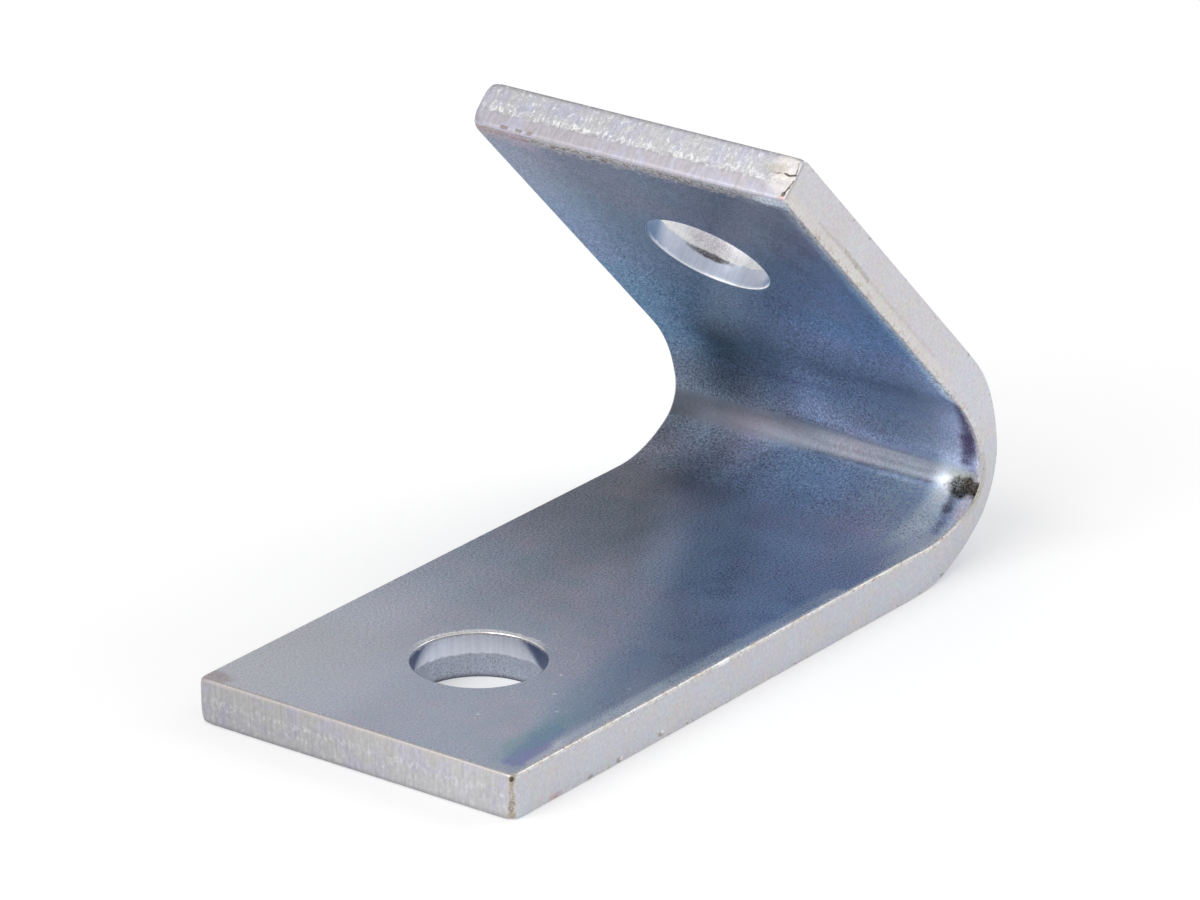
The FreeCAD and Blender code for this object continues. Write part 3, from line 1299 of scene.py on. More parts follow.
@dataclass(frozen=True)
class PaintedShading:
    """Painted shade and light on the inside face: painted shade from its near side to its far side and
    round the fold, and painted sheen.

    The border between the bright side and the dull side is the lowest of three
    lines: one on the base leg, one over the fold and one on the brace.  A leg's
    line is held as its place across at run 0 and its rise for each millimetre.
    """

    base_line: Pair = (-26.9, 0.55)
    brace_line: Pair = (72.6, -0.61)
    fold_line: float = 9.5
    # Painted shade: past the border the far side is darker on each leg, with a darker valley along the
    # border.
    border: Ramp = Ramp(-3.5, 4.5)
    border_valley: Zone = Zone(
        (Ramp(36.0, 46.0, 0.0, 0.24), Ramp(50.0, 60.0, 1.0, 0.67), Ramp(118.0, 104.0)),
        (Stripe(-1.5, 2.5, 4.5),),
    )
    far_shade_base: Zone = Zone((Ramp(2.0, 66.0, 1.18, 0.40), Ramp(70.0, 81.0, 1.0, 1.7), Ramp(92.0, 84.0)))
    far_shade_brace: Zone = Zone(
        (Ramp(92.0, 134.0, 0.68, 1.08), Ramp(84.0, 92.0)), (Ramp(8.0, 19.5, 0.50, 0.72),))
    # Painted shade over the pressed band's reflection and above it, up the brace, near the fold, at the
    # free end and at the far lip.
    band_crest: Zone = Zone((Stripe(84.0, 0.7, 0.9),), (Ramp(6.0, -2.0),), 0.36)
    band_fade: Zone = Zone((Stripe(85.0, 0.8, 3.4),), (Ramp(-2.0, 3.0),), 0.31)
    band_far_end: Zone = Zone((Stripe(85.0, 0.8, 3.4),), (Ramp(10.0, 17.0),), 0.14)
    above_band: Zone = Zone((Stripe(87.5, 0.6, 1.2),), (Ramp(13.0, 5.0),), 0.24)
    brace_dusk: Zone = Zone((Stripe(98.0, 2.0, 11.0),), (Stripe(-1.5, 12.0, 7.0),), 0.41)
    near_brace: Zone = Zone((Stripe(94.5, 3.0, 4.0),), (Ramp(3.0, -3.0),), 0.22)
    free_end: Zone = Zone((Ramp(30.0, 4.0),), (Ramp(6.0, 0.0),), 0.10)
    far_lip: Zone = Zone((Stripe(81.5, 2.0, 4.0),), (Ramp(14.0, 19.0),), 0.38)
    # Painted sheen and painted light on the near side, on the fold's lip and along the base leg's far edge.
    sheen: Zone = Zone((Ramp(36.0, 48.0), Ramp(83.6, 82.4)), (Ramp(8.0, 0.0),), 0.40)
    sheen_gap: Zone = Zone((Stripe(71.0, 3.5, 4.0),), (Stripe(-5.0, 4.0, 5.0),), 0.75)
    lit_lip: Zone = Zone((Ramp(66.0, 77.0), Ramp(83.6, 82.0)), (Ramp(-3.0, -11.0),), 0.24)
    lit_middle: Zone = Zone(
        (Ramp(66.0, 77.0), Ramp(83.6, 82.0), Ramp(70.0, 76.0)), (Stripe(6.0, 1.5, 4.0),), 0.35)
    lit_far_edge: Zone = Zone((Stripe(35.0, 10.0, 12.0),), (Ramp(8.0, 15.0),), 0.15)
    # Painted shade in the glancing colour: darker and bluer past the border, and a painted shadow on the
    # brace's near side.
    to_brace: Ramp = Ramp(84.0, 92.0)
    up_brace: Ramp = Ramp(102.0, 122.0)
    fold_hue: Colour = (0.48, 0.64, 0.88)
    brace_hue: Colour = (0.54, 0.58, 0.69)
    shadow: Zone = Zone((Ramp(86.0, 89.5), Ramp(124.0, 100.0, 0.35, 1.0)), (Ramp(4.0, -5.0),), 0.8)
    near_shadow: float = 1.2
    shadow_hue: Colour = (0.51, 0.54, 0.62)

    def past_border(self, sheet: NodeSheet, spot: Spot) -> Socket:
        """Gives how far a place lies to the far side of the border.

        Args:
            sheet: The material's sheet.
            spot: The place on the blank.

        Returns:
            The distance, negative on the near side.
        """
        run, across = spot
        legs = (self.base_line, self.brace_line)
        lines = [sheet.math("MULTIPLY_ADD", run, rise, start) for start, rise in legs]
        border = sheet.math("MINIMUM", sheet.math("MINIMUM", *lines), self.fold_line)
        return sheet.math("SUBTRACT", across, border)

    def tone(self, sheet: NodeSheet, spot: Spot, beyond: Socket) -> Socket:
        """Gives the painted shade and light, as a brightness for the plating.

        Args:
            sheet: The material's sheet.
            spot: The place on the blank.
            beyond: How far it lies to the far side of the border.

        Returns:
            The brightness, 1 on the plain near side.
        """
        dull = sheet.math("SUBTRACT", sheet.zone(spot, self.far_shade_base, self.far_shade_brace), 1.0)
        tone = sheet.math("MULTIPLY_ADD", sheet.curve(beyond, self.border), dull, 1.0)
        tone = sheet.less(tone, sheet.zone((spot[0], beyond), self.border_valley))
        tone = sheet.less(tone, sheet.zone(spot, self.band_fade, self.band_far_end))
        for darker in (self.band_crest, self.above_band, self.brace_dusk, self.near_brace, self.free_end,
                       self.far_lip):
            tone = sheet.less(tone, sheet.zone(spot, darker))
        sheen = sheet.less(sheet.zone(spot, self.sheen), sheet.zone(spot, self.sheen_gap))
        lit = sheet.zone(spot, self.lit_lip, self.lit_middle)
        for gain in (sheen, lit, sheet.zone(spot, self.lit_far_edge)):
            tone = sheet.product(tone, sheet.math("ADD", gain, 1.0))
        return tone

    def glancing(self, sheet: NodeSheet, spot: Spot, beyond: Socket) -> Socket:
        """Gives the plating's colour at a glancing angle, with painted shade past the border and a painted
        shadow on the brace.

        Args:
            sheet: The material's sheet.
            spot: The place on the blank.
            beyond: How far it lies to the far side of the border.

        Returns:
            The colour, white on the base leg.
        """
        run, _ = spot
        hue = sheet.mix(sheet.curve(run, self.up_brace), self.fold_hue, self.brace_hue)
        far_shade = sheet.product(sheet.curve(beyond, self.border), sheet.curve(run, self.to_brace))
        dark = sheet.math("MULTIPLY_ADD", sheet.zone(spot, self.near_brace), self.near_shadow,
                          sheet.zone(spot, self.shadow))
        colour = sheet.mix(far_shade, WHITE, hue)
        return sheet.mix(sheet.math("MINIMUM", dark, 1.0), colour, self.shadow_hue, "MULTIPLY")


@dataclass(frozen=True)
class CroppedRim:
    """Where the edges' pale, rough zinc runs a little way onto the inside face.

    The distance from each edge is stretched: the larger its stretch, the
    narrower the rim along it.  Chips lie in a thin line along the rim.
    """

    half_width: float = 19.75
    base_stretch: float = 2.2
    brace_stretch: float = 0.38
    side_stretch: Ramp = Ramp(76.0, 92.0, 3.0, 1.5)
    fray: float = 1.6
    crumble: float = 0.9
    cover: Ramp = Ramp(0.95, 0.45, 0.0, 0.9)
    chip_line: Stripe = Stripe(0.35, 0.08, 0.15)
    chip_gaps: Ramp = Ramp(-0.06, 0.03, 1.0, 0.0)
    brace_chips: Zone = Zone((Ramp(96.0, 108.0),), most=0.28)
    corner_chips: Zone = Zone((Ramp(134.0, 141.0),), most=0.5)

    def shares(self, sheet: NodeSheet, spot: Spot) -> tuple[Socket, Socket]:
        """Gives how much of the rim and of its chips there is at each place.

        Args:
            sheet: The material's sheet.
            spot: The place on the blank.

        Returns:
            The share of the rim, and the share of the chips.
        """
        run, across = spot
        length = FoldPath(BarSizes()).length / MM
        from_base = sheet.math("MULTIPLY", run, self.base_stretch)
        from_brace = sheet.math("MULTIPLY_ADD", run, -self.brace_stretch, self.brace_stretch * length)
        from_side = sheet.math("ADD", across, self.half_width)
        from_side = sheet.product(from_side, sheet.curve(run, self.side_stretch))
        edge = sheet.math("MINIMUM", sheet.math("MINIMUM", from_base, from_brace), from_side)
        edge = sheet.math("MULTIPLY_ADD", sheet.wobble, self.fray, edge)
        edge = sheet.math("MULTIPLY_ADD", sheet.math("SUBTRACT", sheet.specks, 0.5), self.crumble, edge)
        chips = sheet.product(sheet.curve(edge, self.chip_line), sheet.curve(sheet.wobble, self.chip_gaps),
                              sheet.zone(spot, self.brace_chips, self.corner_chips))
        return sheet.curve(edge, self.cover), chips


@dataclass(frozen=True)
class HoleRimGlint:
    """A painted highlight on the turned rim, along one side of the base leg's hole."""

    middle: Plan = (20.3, 0.0)
    way: Plan = (0.8, 0.6)
    ring: Stripe = Stripe(7.30, 0.26, 0.26)
    fray: float = 1.2
    side: Ramp = Ramp(2.0, 6.0)
    breaks: Ramp = Ramp(0.40, 0.6, 1.0, 0.35)

    def share(self, sheet: NodeSheet, blank: Socket) -> Socket:
        """Gives how much of the painted highlight there is at each place.

        Args:
            sheet: The material's sheet.
            blank: The place on the blank.

        Returns:
            The burr's share.
        """
        offset = sheet.vector("SUBTRACT", blank, (*self.middle, 0.0)).outputs[0]
        away = sheet.vector("LENGTH", offset).outputs["Value"]
        aside = sheet.vector("DOT_PRODUCT", offset, (*self.way, 0.0)).outputs["Value"]
        ring = sheet.curve(sheet.math("MULTIPLY_ADD", sheet.wobble, self.fray, away), self.ring)
        return sheet.product(ring, sheet.curve(aside, self.side), sheet.curve(sheet.specks, self.breaks))


@dataclass
class Coat:
    """A finish in the making, with its colour at a glancing angle."""

    colour: Socket
    roughness: Socket
    grazing: Socket


@dataclass(frozen=True)
class PinchedFace(PlatedFace):
    """The inside face: the plating, what cropping, folding and handling left on it, and painted shade,
    sheen and highlights.

    Places and widths are in millimetres along the blank from the base leg's
    free end and across it from its middle; the near side is negative.
    """

    name: str = "inside_face"
    neutral: Colour = (0.54, 0.55, 0.60)
    # The next colour is a painted highlight on the fold's turned lip.
    lip_highlight: Colour = (0.84, 0.91, 1.0)
    cropped: Colour = (0.66, 0.60, 0.60)
    stained: Colour = (0.50, 0.56, 0.58)
    chipped: Colour = (0.20, 0.14, 0.13)
    rim_glancing: Colour = (0.90, 0.88, 0.87)
    fringe_glancing: Colour = (0.90, 0.88, 0.88)
    # Painted shade and light over the inside face.
    painted_shading: PaintedShading = PaintedShading()
    rim: CroppedRim = CroppedRim()
    # A painted highlight on the base leg's hole rim.
    hole_rim_glint: HoleRimGlint = HoleRimGlint()
    worn: Marks = (
        # The rubbed near side: base leg, fold and brace.
        Stroke((9.0, -19.5), (40.0, -19.3), 0.3, (0.92, 0.94, 0.97), 0.95, 1.4, 0.25),
        Stroke((40.0, -19.4), (56.0, -19.4), 0.2, (0.88, 0.91, 0.95), 0.8, 1.3, 0.25),
        Stroke((101.0, -19.6), (143.0, -19.4), 0.1, (0.90, 0.93, 0.97), 0.75, 1.2, 0.3),
        Blot((71.0, -19.0), (5.0, 1.0), (0.80, 0.84, 0.90), 0.8, 0.7, 0.1),
        Blot((77.0, -16.4), (6.5, 1.3), (0.78, 0.84, 0.94), 0.6, 0.7, 0.1),
        # Blue, teal and violet plating at the base leg's near corner, and the pale line beside it.
        Stroke((3.0, -17.9), (11.0, -16.5), 0.3, (0.22, 0.29, 0.54), 0.75, 1.1, 0.4),
        Stroke((11.0, -16.8), (30.0, -12.0), 0.6, (0.30, 0.41, 0.56), 0.48, 3.0, 0.4),
        Blot((9.0, -16.0), (3.6, 0.8), (0.22, 0.42, 0.48), 0.6, 0.7, 0.8, 0.5),
        Blot((5.0, -18.4), (2.0, 0.35), (0.40, 0.33, 0.60), 0.4, 0.7, 0.8, 0.6),
        Stroke((3.5, -19.6), (14.0, -19.3), -0.1, (0.80, 0.80, 0.90), 0.80, 0.7, 0.3, 0.3),
    )
    # Dark streaks and stains, and the crease's painted shade.
    residue_and_crease_shade: Marks = (
        # Painted shade in the crease across the brace above the fold: a faint dark line.
        Stroke((94.1, 13.8), (94.5, -3.0), 0.1, (0.16, 0.20, 0.32), 0.40, 1.0, 0.04),
        Stroke((94.5, -3.0), (94.7, -14.0), 0.0, (0.16, 0.20, 0.32), 0.30, 0.8, 0.04),
        # The dark streaks up the brace and down the base leg, from the fold's near end.
        Stroke((88.4, -18.0), (92.4, -18.7), -0.40, (0.06, 0.045, 0.10), 0.92, 1.3, 0.60, 0.45),
        Stroke((90.5, -18.5), (98.5, -19.7), -0.42, (0.06, 0.045, 0.09), 0.92, 1.2, 0.60, 0.45),
        Stroke((82.6, -17.3), (79.8, -17.8), -0.33, (0.05, 0.05, 0.09), 0.80, 1.0, 0.42, 0.35),
        Stroke((79.8, -17.8), (75.5, -18.6), -0.36, (0.07, 0.07, 0.13), 0.62, 1.1, 0.42, 0.35),
        Stroke((82.2, -19.7), (79.0, -19.75), -0.35, (0.07, 0.05, 0.06), 0.80, 0.5, 0.40, 0.5),
        # The olive black patch at the nose's near end.
        Blot((83.8, -18.4), (1.25, 1.4), (0.026, 0.021, 0.010), 0.98, 0.40, 0.6, 0.25),
        Blot((83.6, -18.9), (1.00, 0.7), (0.016, 0.012, 0.007), 0.80, 0.60, 0.8, 0.45),
        # The brown stain at the base leg's far corner.
        Blot((0.9, 18.8), (0.8, 1.1), (0.52, 0.43, 0.42), 0.75, 0.6, 0.8, 0.6),
    )
    fringe: Marks = (
        # Pale zinc that laps over the fold's near edge.
        Stroke((86.8, -19.75), (91.5, -19.85), -0.35, (0.64, 0.60, 0.63), 0.90, 0.40, 0.65, 0.5),
        Stroke((91.5, -19.85), (99.5, -19.85), -0.42, (0.62, 0.57, 0.60), 0.88, 0.40, 0.65, 0.6),
        Blot((80.3, -19.2), (1.4, 0.45), (0.90, 0.82, 0.85), 0.90, 0.7, 0.7, 0.4),
    )
    polish: Marks = (
        # Bare and rubbed spots round the fold's near end.
        Blot((85.7, -17.6), (0.7, 1.3), (0.50, 0.53, 0.51), 0.8, 0.5, 0.4, 0.3),
        Blot((88.3, -19.8), (1.6, 0.35), (0.52, 0.50, 0.54), 0.75, 0.6, 0.6, 0.4),
        Blot((80.0, -19.0), (0.8, 0.3), (0.66, 0.61, 0.64), 0.85, 0.7, 0.7, 0.5),
        Blot((82.2, -16.0), (1.9, 0.65), (0.95, 0.97, 1.0), 0.9, 0.7, 0.2),
        # Rubbed and stained spots at the brace leg's cropped end.
        Blot((143.9, -18.4), (0.6, 1.6), (0.84, 0.92, 1.0), 0.9, 0.7, 0.8, 0.3),
        Blot((143.9, 18.3), (0.9, 1.3), (0.52, 0.43, 0.44), 0.7, 0.8, 0.7, 0.4),
        Blot((143.5, 14.6), (1.2, 1.1), (0.52, 0.42, 0.50), 0.7, 0.8, 0.7, 0.4),
    )
    fleck_places: tuple[Plan, ...] = (
        (18.1, -11.3), (23.6, -16.5), (9.6, -8.2), (14.8, -14.1), (22.2, -9.0))
    fleck: Blot = Blot((0.0, 0.0), (0.14, 0.14), (0.95, 0.95, 1.0), 0.7, 0.6)
    frays_per_mm: float = 1.1
    stain_share: Ramp = Ramp(0.42, 0.58)
    neutral_base: Zone = Zone((Ramp(50.0, 5.0),), (Ramp(-4.0, 19.0, 0.3, 1.0),))
    neutral_brace: Zone = Zone((Ramp(112.0, 144.0),), (Ramp(-4.0, 19.0, 0.3, 1.0),), 0.5)
    # Painted shade on the brace's near side above the fold: darker and less blue.
    brace_shade_tint: Tint = Tint(
        Zone((Ramp(86.0, 90.0), Ramp(113.0, 101.0, 0.0, 0.55)), (Ramp(3.0, -4.0),)), (0.86, 0.84, 0.84))
    cool_brace: Tint = Tint(Zone((Ramp(85.0, 98.0), Ramp(120.0, 141.0, 1.0, 0.1))), (0.80, 1.0, 1.10))
    base_fold: Tint = Tint(Zone((Stripe(76.5, 5.0, 3.0),), (Stripe(5.0, 8.0, 6.0),)), (0.94, 0.98, 1.0))
    pressed_band: Tint = Tint(Zone((Stripe(85.0, 1.3, 1.5),)), (0.97, 0.92, 0.89))
    matt_zones: tuple[Zone, ...] = (
        Zone((), (Ramp(-8.0, 10.0),), 0.12),
        Zone((Ramp(84.0, 92.0),), (), 0.06),
        Zone((Stripe(84.9, 5.0, 8.0),), (Ramp(0.0, 14.0, -0.10, 0.15),)),
        Zone((Ramp(66.0, 77.0), Ramp(84.0, 82.0)), (Ramp(-4.0, -12.0),), 0.10),
    )
    # Where the painted highlight lies along the fold's turned lip.
    turned_lip: Zone = Zone((Ramp(67.0, 78.0, 0.0, 0.9), Ramp(92.5, 81.5)), (Stripe(-16.2, 0.5, 2.2),))
    lip_rough: float = 0.22
    rim_rough: float = 0.30
    mark_rough: float = 0.15
    # How much the dark streaks, stains and crease shade darken the glancing colour.
    residue_and_shade_dark: float = -0.6
    grit: float = 2.6
    grit_noise: Noise = (4.2, 1.5, 0.8)
    gritty: Zone = Zone((Ramp(5.0, 60.0, 0.3, 1.0), Ramp(108.0, 130.0, 1.0, 0.5)))
    pressed: Zone = Zone((Stripe(85.2, 2.0, 1.0),))
    pressed_calm: float = 0.8
    soft_lip: Zone = Zone((Stripe(88.0, 8.0, 6.0),), (Ramp(-7.0, -13.0),), 0.5)

    def material(self) -> bpy.types.Material:
        """Makes the finish.

        Returns:
            The material.
        """
        sheet = NodeSheet(self.name)
        place, blank = sheet.place_mm(), sheet.blank_mm()
        spot = sheet.parts(blank)[:2]
        grain = sheet.noise(place, *self.grain_noise)
        sheet.rough_outlines(place, self.frays_per_mm)
        colour, roughness, swells = self.plain(sheet, place, grain)
        colour = sheet.mix(sheet.zone(spot, self.neutral_base, self.neutral_brace), colour, self.neutral)
        colour, _ = sheet.marked(colour, blank, self.worn)
        # Painted shade and light over the plating and in its glancing colour.
        beyond = self.painted_shading.past_border(sheet, spot)
        colour = sheet.shaded(colour, self.painted_shading.tone(sheet, spot, beyond))
        colour = self.tinted(sheet, spot, colour)
        coat = Coat(colour, roughness, self.painted_shading.glancing(sheet, spot, beyond))
        self.lay_sheen(sheet, spot, coat)
        self.lay_rim(sheet, spot, coat)
        self.lay_marks(sheet, blank, coat)
        fine = self.fine_grit(sheet, place, spot)
        colour, grazing = sheet.shaded(coat.colour, fine), sheet.shaded(coat.grazing, fine)
        calm = sheet.math("SUBTRACT", 1.0, sheet.zone(spot, self.pressed))
        return self.finish(sheet, grain, swells, colour, coat.roughness, grazing, calm)

    def lay_sheen(self, sheet: NodeSheet, spot: Spot, coat: Coat) -> None:
        """Dulls the plating's gloss in places, and paints a highlight on the fold's turned lip.

        Args:
            sheet: The material's sheet.
            spot: The place on the blank.
            coat: The finish so far.
        """
        # Painted highlight on the fold's turned lip.
        lip = sheet.zone(spot, self.turned_lip)
        coat.colour = sheet.mix(lip, coat.colour, self.lip_highlight)
        coat.roughness = sheet.math("ADD", coat.roughness, sheet.zone(spot, *self.matt_zones))
        coat.roughness = sheet.math("MULTIPLY_ADD", lip, self.lip_rough, coat.roughness)

    def lay_rim(self, sheet: NodeSheet, spot: Spot, coat: Coat) -> None:
        """Lays the cropped edges' pale, chipped zinc over the plating.

        Args:
            sheet: The material's sheet.
            spot: The place on the blank.
            coat: The finish so far.
        """
        rim, chips = self.rim.shares(sheet, spot)
        zinc = sheet.mix(sheet.curve(sheet.specks, self.stain_share), self.cropped, self.stained)
        coat.colour = sheet.mix(chips, sheet.mix(rim, coat.colour, zinc), self.chipped)
        coat.roughness = sheet.math("MULTIPLY_ADD", rim, self.rim_rough, coat.roughness)
        coat.grazing = sheet.mix(rim, coat.grazing, self.rim_glancing)

    def lay_marks(self, sheet: NodeSheet, blank: Socket, coat: Coat) -> None:
        """Lays the rubbed spots, the dark streaks and stains with the crease's painted shade, the lapped
        zinc and the hole rim's painted highlight.

        Args:
            sheet: The material's sheet.
            blank: The place on the blank.
            coat: The finish so far.
        """
        colour, _ = sheet.marked(coat.colour, blank, self.polish + self.flecks())
        colour, cover = sheet.marked(colour, blank, self.residue_and_crease_shade)
        # The glancing colour darkens under the dark streaks and stains and under the crease's painted
        # shade.
        grazing = sheet.shaded(coat.grazing, sheet.math("MULTIPLY_ADD", cover, self.residue_and_shade_dark, 1.0))
        colour, lap = sheet.marked(colour, blank, self.fringe)
        # Painted highlight on the base leg's hole rim, in white.
        coat.colour = sheet.mix(self.hole_rim_glint.share(sheet, blank), colour, WHITE)
        coat.grazing = sheet.mix(lap, grazing, self.fringe_glancing)
        covered = sheet.math("MAXIMUM", cover, lap)
        coat.roughness = sheet.math("MULTIPLY_ADD", covered, self.mark_rough, coat.roughness)

    def tinted(self, sheet: NodeSheet, spot: Spot, colour: Socket) -> Socket:
        """Tints the brace leg, the fold and the pressed band, and paints shade on the brace's near side
        above the fold.

        Args:
            sheet: The material's sheet.
            spot: The place on the blank.
            colour: The colour so far.

        Returns:
            The colour.
        """
        # Painted shade on the brace's near side, which also holds back the cool tint there.
        brace_shade = sheet.zone(spot, self.brace_shade_tint.zone)
        cool = sheet.less(sheet.zone(spot, self.cool_brace.zone), brace_shade)
        colour = sheet.mix(brace_shade, colour, self.brace_shade_tint.colour, "MULTIPLY")
        colour = sheet.mix(cool, colour, self.cool_brace.colour, "MULTIPLY")
        for tint in (self.base_fold, self.pressed_band):
            colour = sheet.mix(sheet.zone(spot, tint.zone), colour, tint.colour, "MULTIPLY")
        return colour

    def fine_grit(self, sheet: NodeSheet, place: Socket, spot: Spot) -> Socket:
        """Gives the fine light and dark grit, calmer at the ends and in the fold.

        Args:
            sheet: The material's sheet.
            place: Position on the object, in millimetres.
            spot: The place on the blank.

        Returns:
            The brightness to multiply by.
        """
        pressed = sheet.math("MULTIPLY", sheet.zone(spot, self.pressed), self.pressed_calm)
        share = sheet.less(sheet.zone(spot, self.gritty), pressed)
        share = sheet.less(share, sheet.zone(spot, self.soft_lip))
        fine = sheet.math("SUBTRACT", sheet.noise(place, *self.grit_noise), 0.5)
        return sheet.math("MULTIPLY_ADD", sheet.product(fine, share), self.grit, 1.0)

    def flecks(self) -> Marks:
        """The few pale flecks scattered over the base leg."""
        return tuple(replace(self.fleck, middle=middle) for middle in self.fleck_places)


@dataclass(frozen=True)
class LongEdge:
    """Zinc over the bar's long edges: paler, rougher and lightly grained.

    The blank's map holds the run and the depth here, so the zones are along
    the bar and down its edge.
    """

    name: str = "long_edge"
    pale: Colour = (0.59, 0.60, 0.66)
    cream: Colour = (0.66, 0.63, 0.64)
    green: Colour = (0.58, 0.61, 0.62)
    # The next colour is a painted highlight along the top rounding of the edge.
    rim: Colour = (0.82, 0.79, 0.74)
    worn: Colour = (0.74, 0.70, 0.66)
    scale: Colour = (0.30, 0.25, 0.21)
    stained: Colour = (0.50, 0.47, 0.40)
    smooth: float = 0.40
    coarse: float = 0.56
    marks: Marks = (
        Stroke((138.0, 1.4), (131.5, 1.60), -0.34, (0.46, 0.44, 0.38), 0.50, 0.30, 0.40, 0.8),
        Stroke((131.5, 1.60), (128.5, 1.5), -0.30, (0.36, 0.33, 0.26), 0.60, 0.30, 0.40, 0.6),
        Stroke((128.5, 1.5), (125.5, 1.4), -0.26, (0.34, 0.32, 0.25), 0.60, 0.32, 0.40, 0.6),
        Stroke((125.5, 1.4), (108.0, 1.5), -0.34, (0.50, 0.44, 0.43), 0.50, 0.30, 0.40, 0.8),
        # Nicks along the bottom edge: each a painted shadow, two of them with a painted highlight beside
        # it.
        Blot((24.3, 4.30), (0.30, 0.18), (0.24, 0.22, 0.20), 0.7, 0.5, 0.4, 0.3),
        Blot((24.6, 4.15), (0.22, 0.15), (0.85, 0.85, 0.85), 0.7, 0.5, 0.4),
        Blot((17.3, 4.60), (0.30, 0.18), (0.24, 0.22, 0.20), 0.7, 0.5, 0.4, 0.3),
        Blot((17.7, 4.50), (0.22, 0.14), (0.80, 0.80, 0.80), 0.7, 0.5, 0.4),
        Blot((12.6, 4.70), (0.30, 0.18), (0.24, 0.22, 0.20), 0.7, 0.5, 0.4, 0.3),
        Blot((6.8, 4.65), (0.7, 0.2), (0.50, 0.33, 0.36), 0.5, 0.5, 0.6),
        Blot((35.3, 0.1), (0.7, 0.25), (0.95, 0.95, 0.95), 0.7, 0.6, 0.5),
        Blot((85.0, 0.3), (3.5, 0.5), (0.42, 0.40, 0.35), 0.55, 0.8, 0.5, 0.4),
    )
    cloud_noise: Noise = (0.25, 4.0)
    patch_noise: Noise = (0.8, 3.0)
    grain_noise: Noise = (2.6, 3.0, 0.65)
    swell_noise: Noise = (0.7, 2.0)
    frays_per_mm: float = 1.6
    fray: float = 1.1
    creamy: Ramp = Ramp(0.4, 0.7)
    greenish: Ramp = Ramp(0.5, 0.7, 0.0, 0.6)
    brace_tone: Ramp = Ramp(84.0, 96.0, 0.96, 1.06)
    brace_cream: Ramp = Ramp(96.0, 112.0, 0.0, 0.45)
    top_highlight_line: Zone = Zone((Ramp(96.0, 76.0, 0.6, 1.0),), (Ramp(0.45, 0.25),))
    top_highlight_gaps: Ramp = Ramp(0.40, 0.56, 1.0, 0.25)
    worn_rim: Zone = Zone((Ramp(98.0, 108.0),), (Ramp(2.1, 0.6),), 0.50)
    stains: Scatter = Scatter((1.1, 3.0, 0.7), Ramp(0.50, 0.64, 0.0, 0.75), Ramp(0.8, 0.2))
    rim_scale: Scatter = Scatter((2.4, 2.0), Ramp(0.60, 0.70, 0.0, 0.8), Ramp(0.6, 0.3))
    foot_scale: Scatter = Scatter((1.4, 2.0), Ramp(0.60, 0.68), Ramp(4.4, 4.8))
    grain_tones: Pair = (0.92, 1.07)
    crystal_noise: Noise = (1.1, 1.5, 0.8)
    crystal_tints: float = 0.2
    grain_relief: float = 0.02 * MM
    swell_relief: float = 0.05 * MM

    def material(self) -> bpy.types.Material:
        """Makes the finish.

        Returns:
            The material.
        """
        sheet = NodeSheet(self.name)
        place, blank = sheet.place_mm(), sheet.blank_mm()
        run, depth, _ = sheet.parts(blank)
        clouds = sheet.noise(place, *self.cloud_noise)
        grain = sheet.noise(place, *self.grain_noise)
        sheet.rough_outlines(place, self.frays_per_mm)
        edge = sheet.math("MULTIPLY_ADD", sheet.wobble, self.fray, depth)
        colour = sheet.mix(sheet.curve(clouds, self.creamy), self.pale, self.cream)
        patches = sheet.curve(sheet.noise(place, *self.patch_noise), self.greenish)
        colour = sheet.mix(patches, colour, self.green)
        colour = sheet.shaded(colour, sheet.curve(run, self.brace_tone))
        # Painted highlight: a pale broken line along the edge's top rounding, fainter on the brace.
        rim = sheet.zone((run, edge), self.top_highlight_line)
        rim = sheet.product(rim, sheet.curve(sheet.specks, self.top_highlight_gaps))
        colour = sheet.mix(rim, colour, self.rim)
        colour = sheet.mix(sheet.curve(run, self.brace_cream), colour, self.cream)
        colour = sheet.mix(sheet.zone((run, edge), self.worn_rim), colour, self.worn)
        colour = sheet.mix(sheet.scattered(place, edge, self.stains), colour, self.stained)
        scales = [sheet.scattered(place, depth, scale) for scale in (self.rim_scale, self.foot_scale)]
        colour = sheet.mix(sheet.math("MAXIMUM", *scales), colour, self.scale)
        colour, _ = sheet.marked(colour, blank, self.marks)
        colour = sheet.grained(colour, grain, self.grain_tones)
        colour = sheet.shaded(colour, sheet.crystals(place, self.crystal_noise, self.crystal_tints))
        roughness = sheet.ramp(clouds, *NOISE_SPAN, self.smooth, self.coarse)
        coarse = sheet.bump(sheet.noise(place, *self.swell_noise), self.swell_relief)
        return sheet.metal(colour, roughness, sheet.bump(grain, self.grain_relief, coarse))


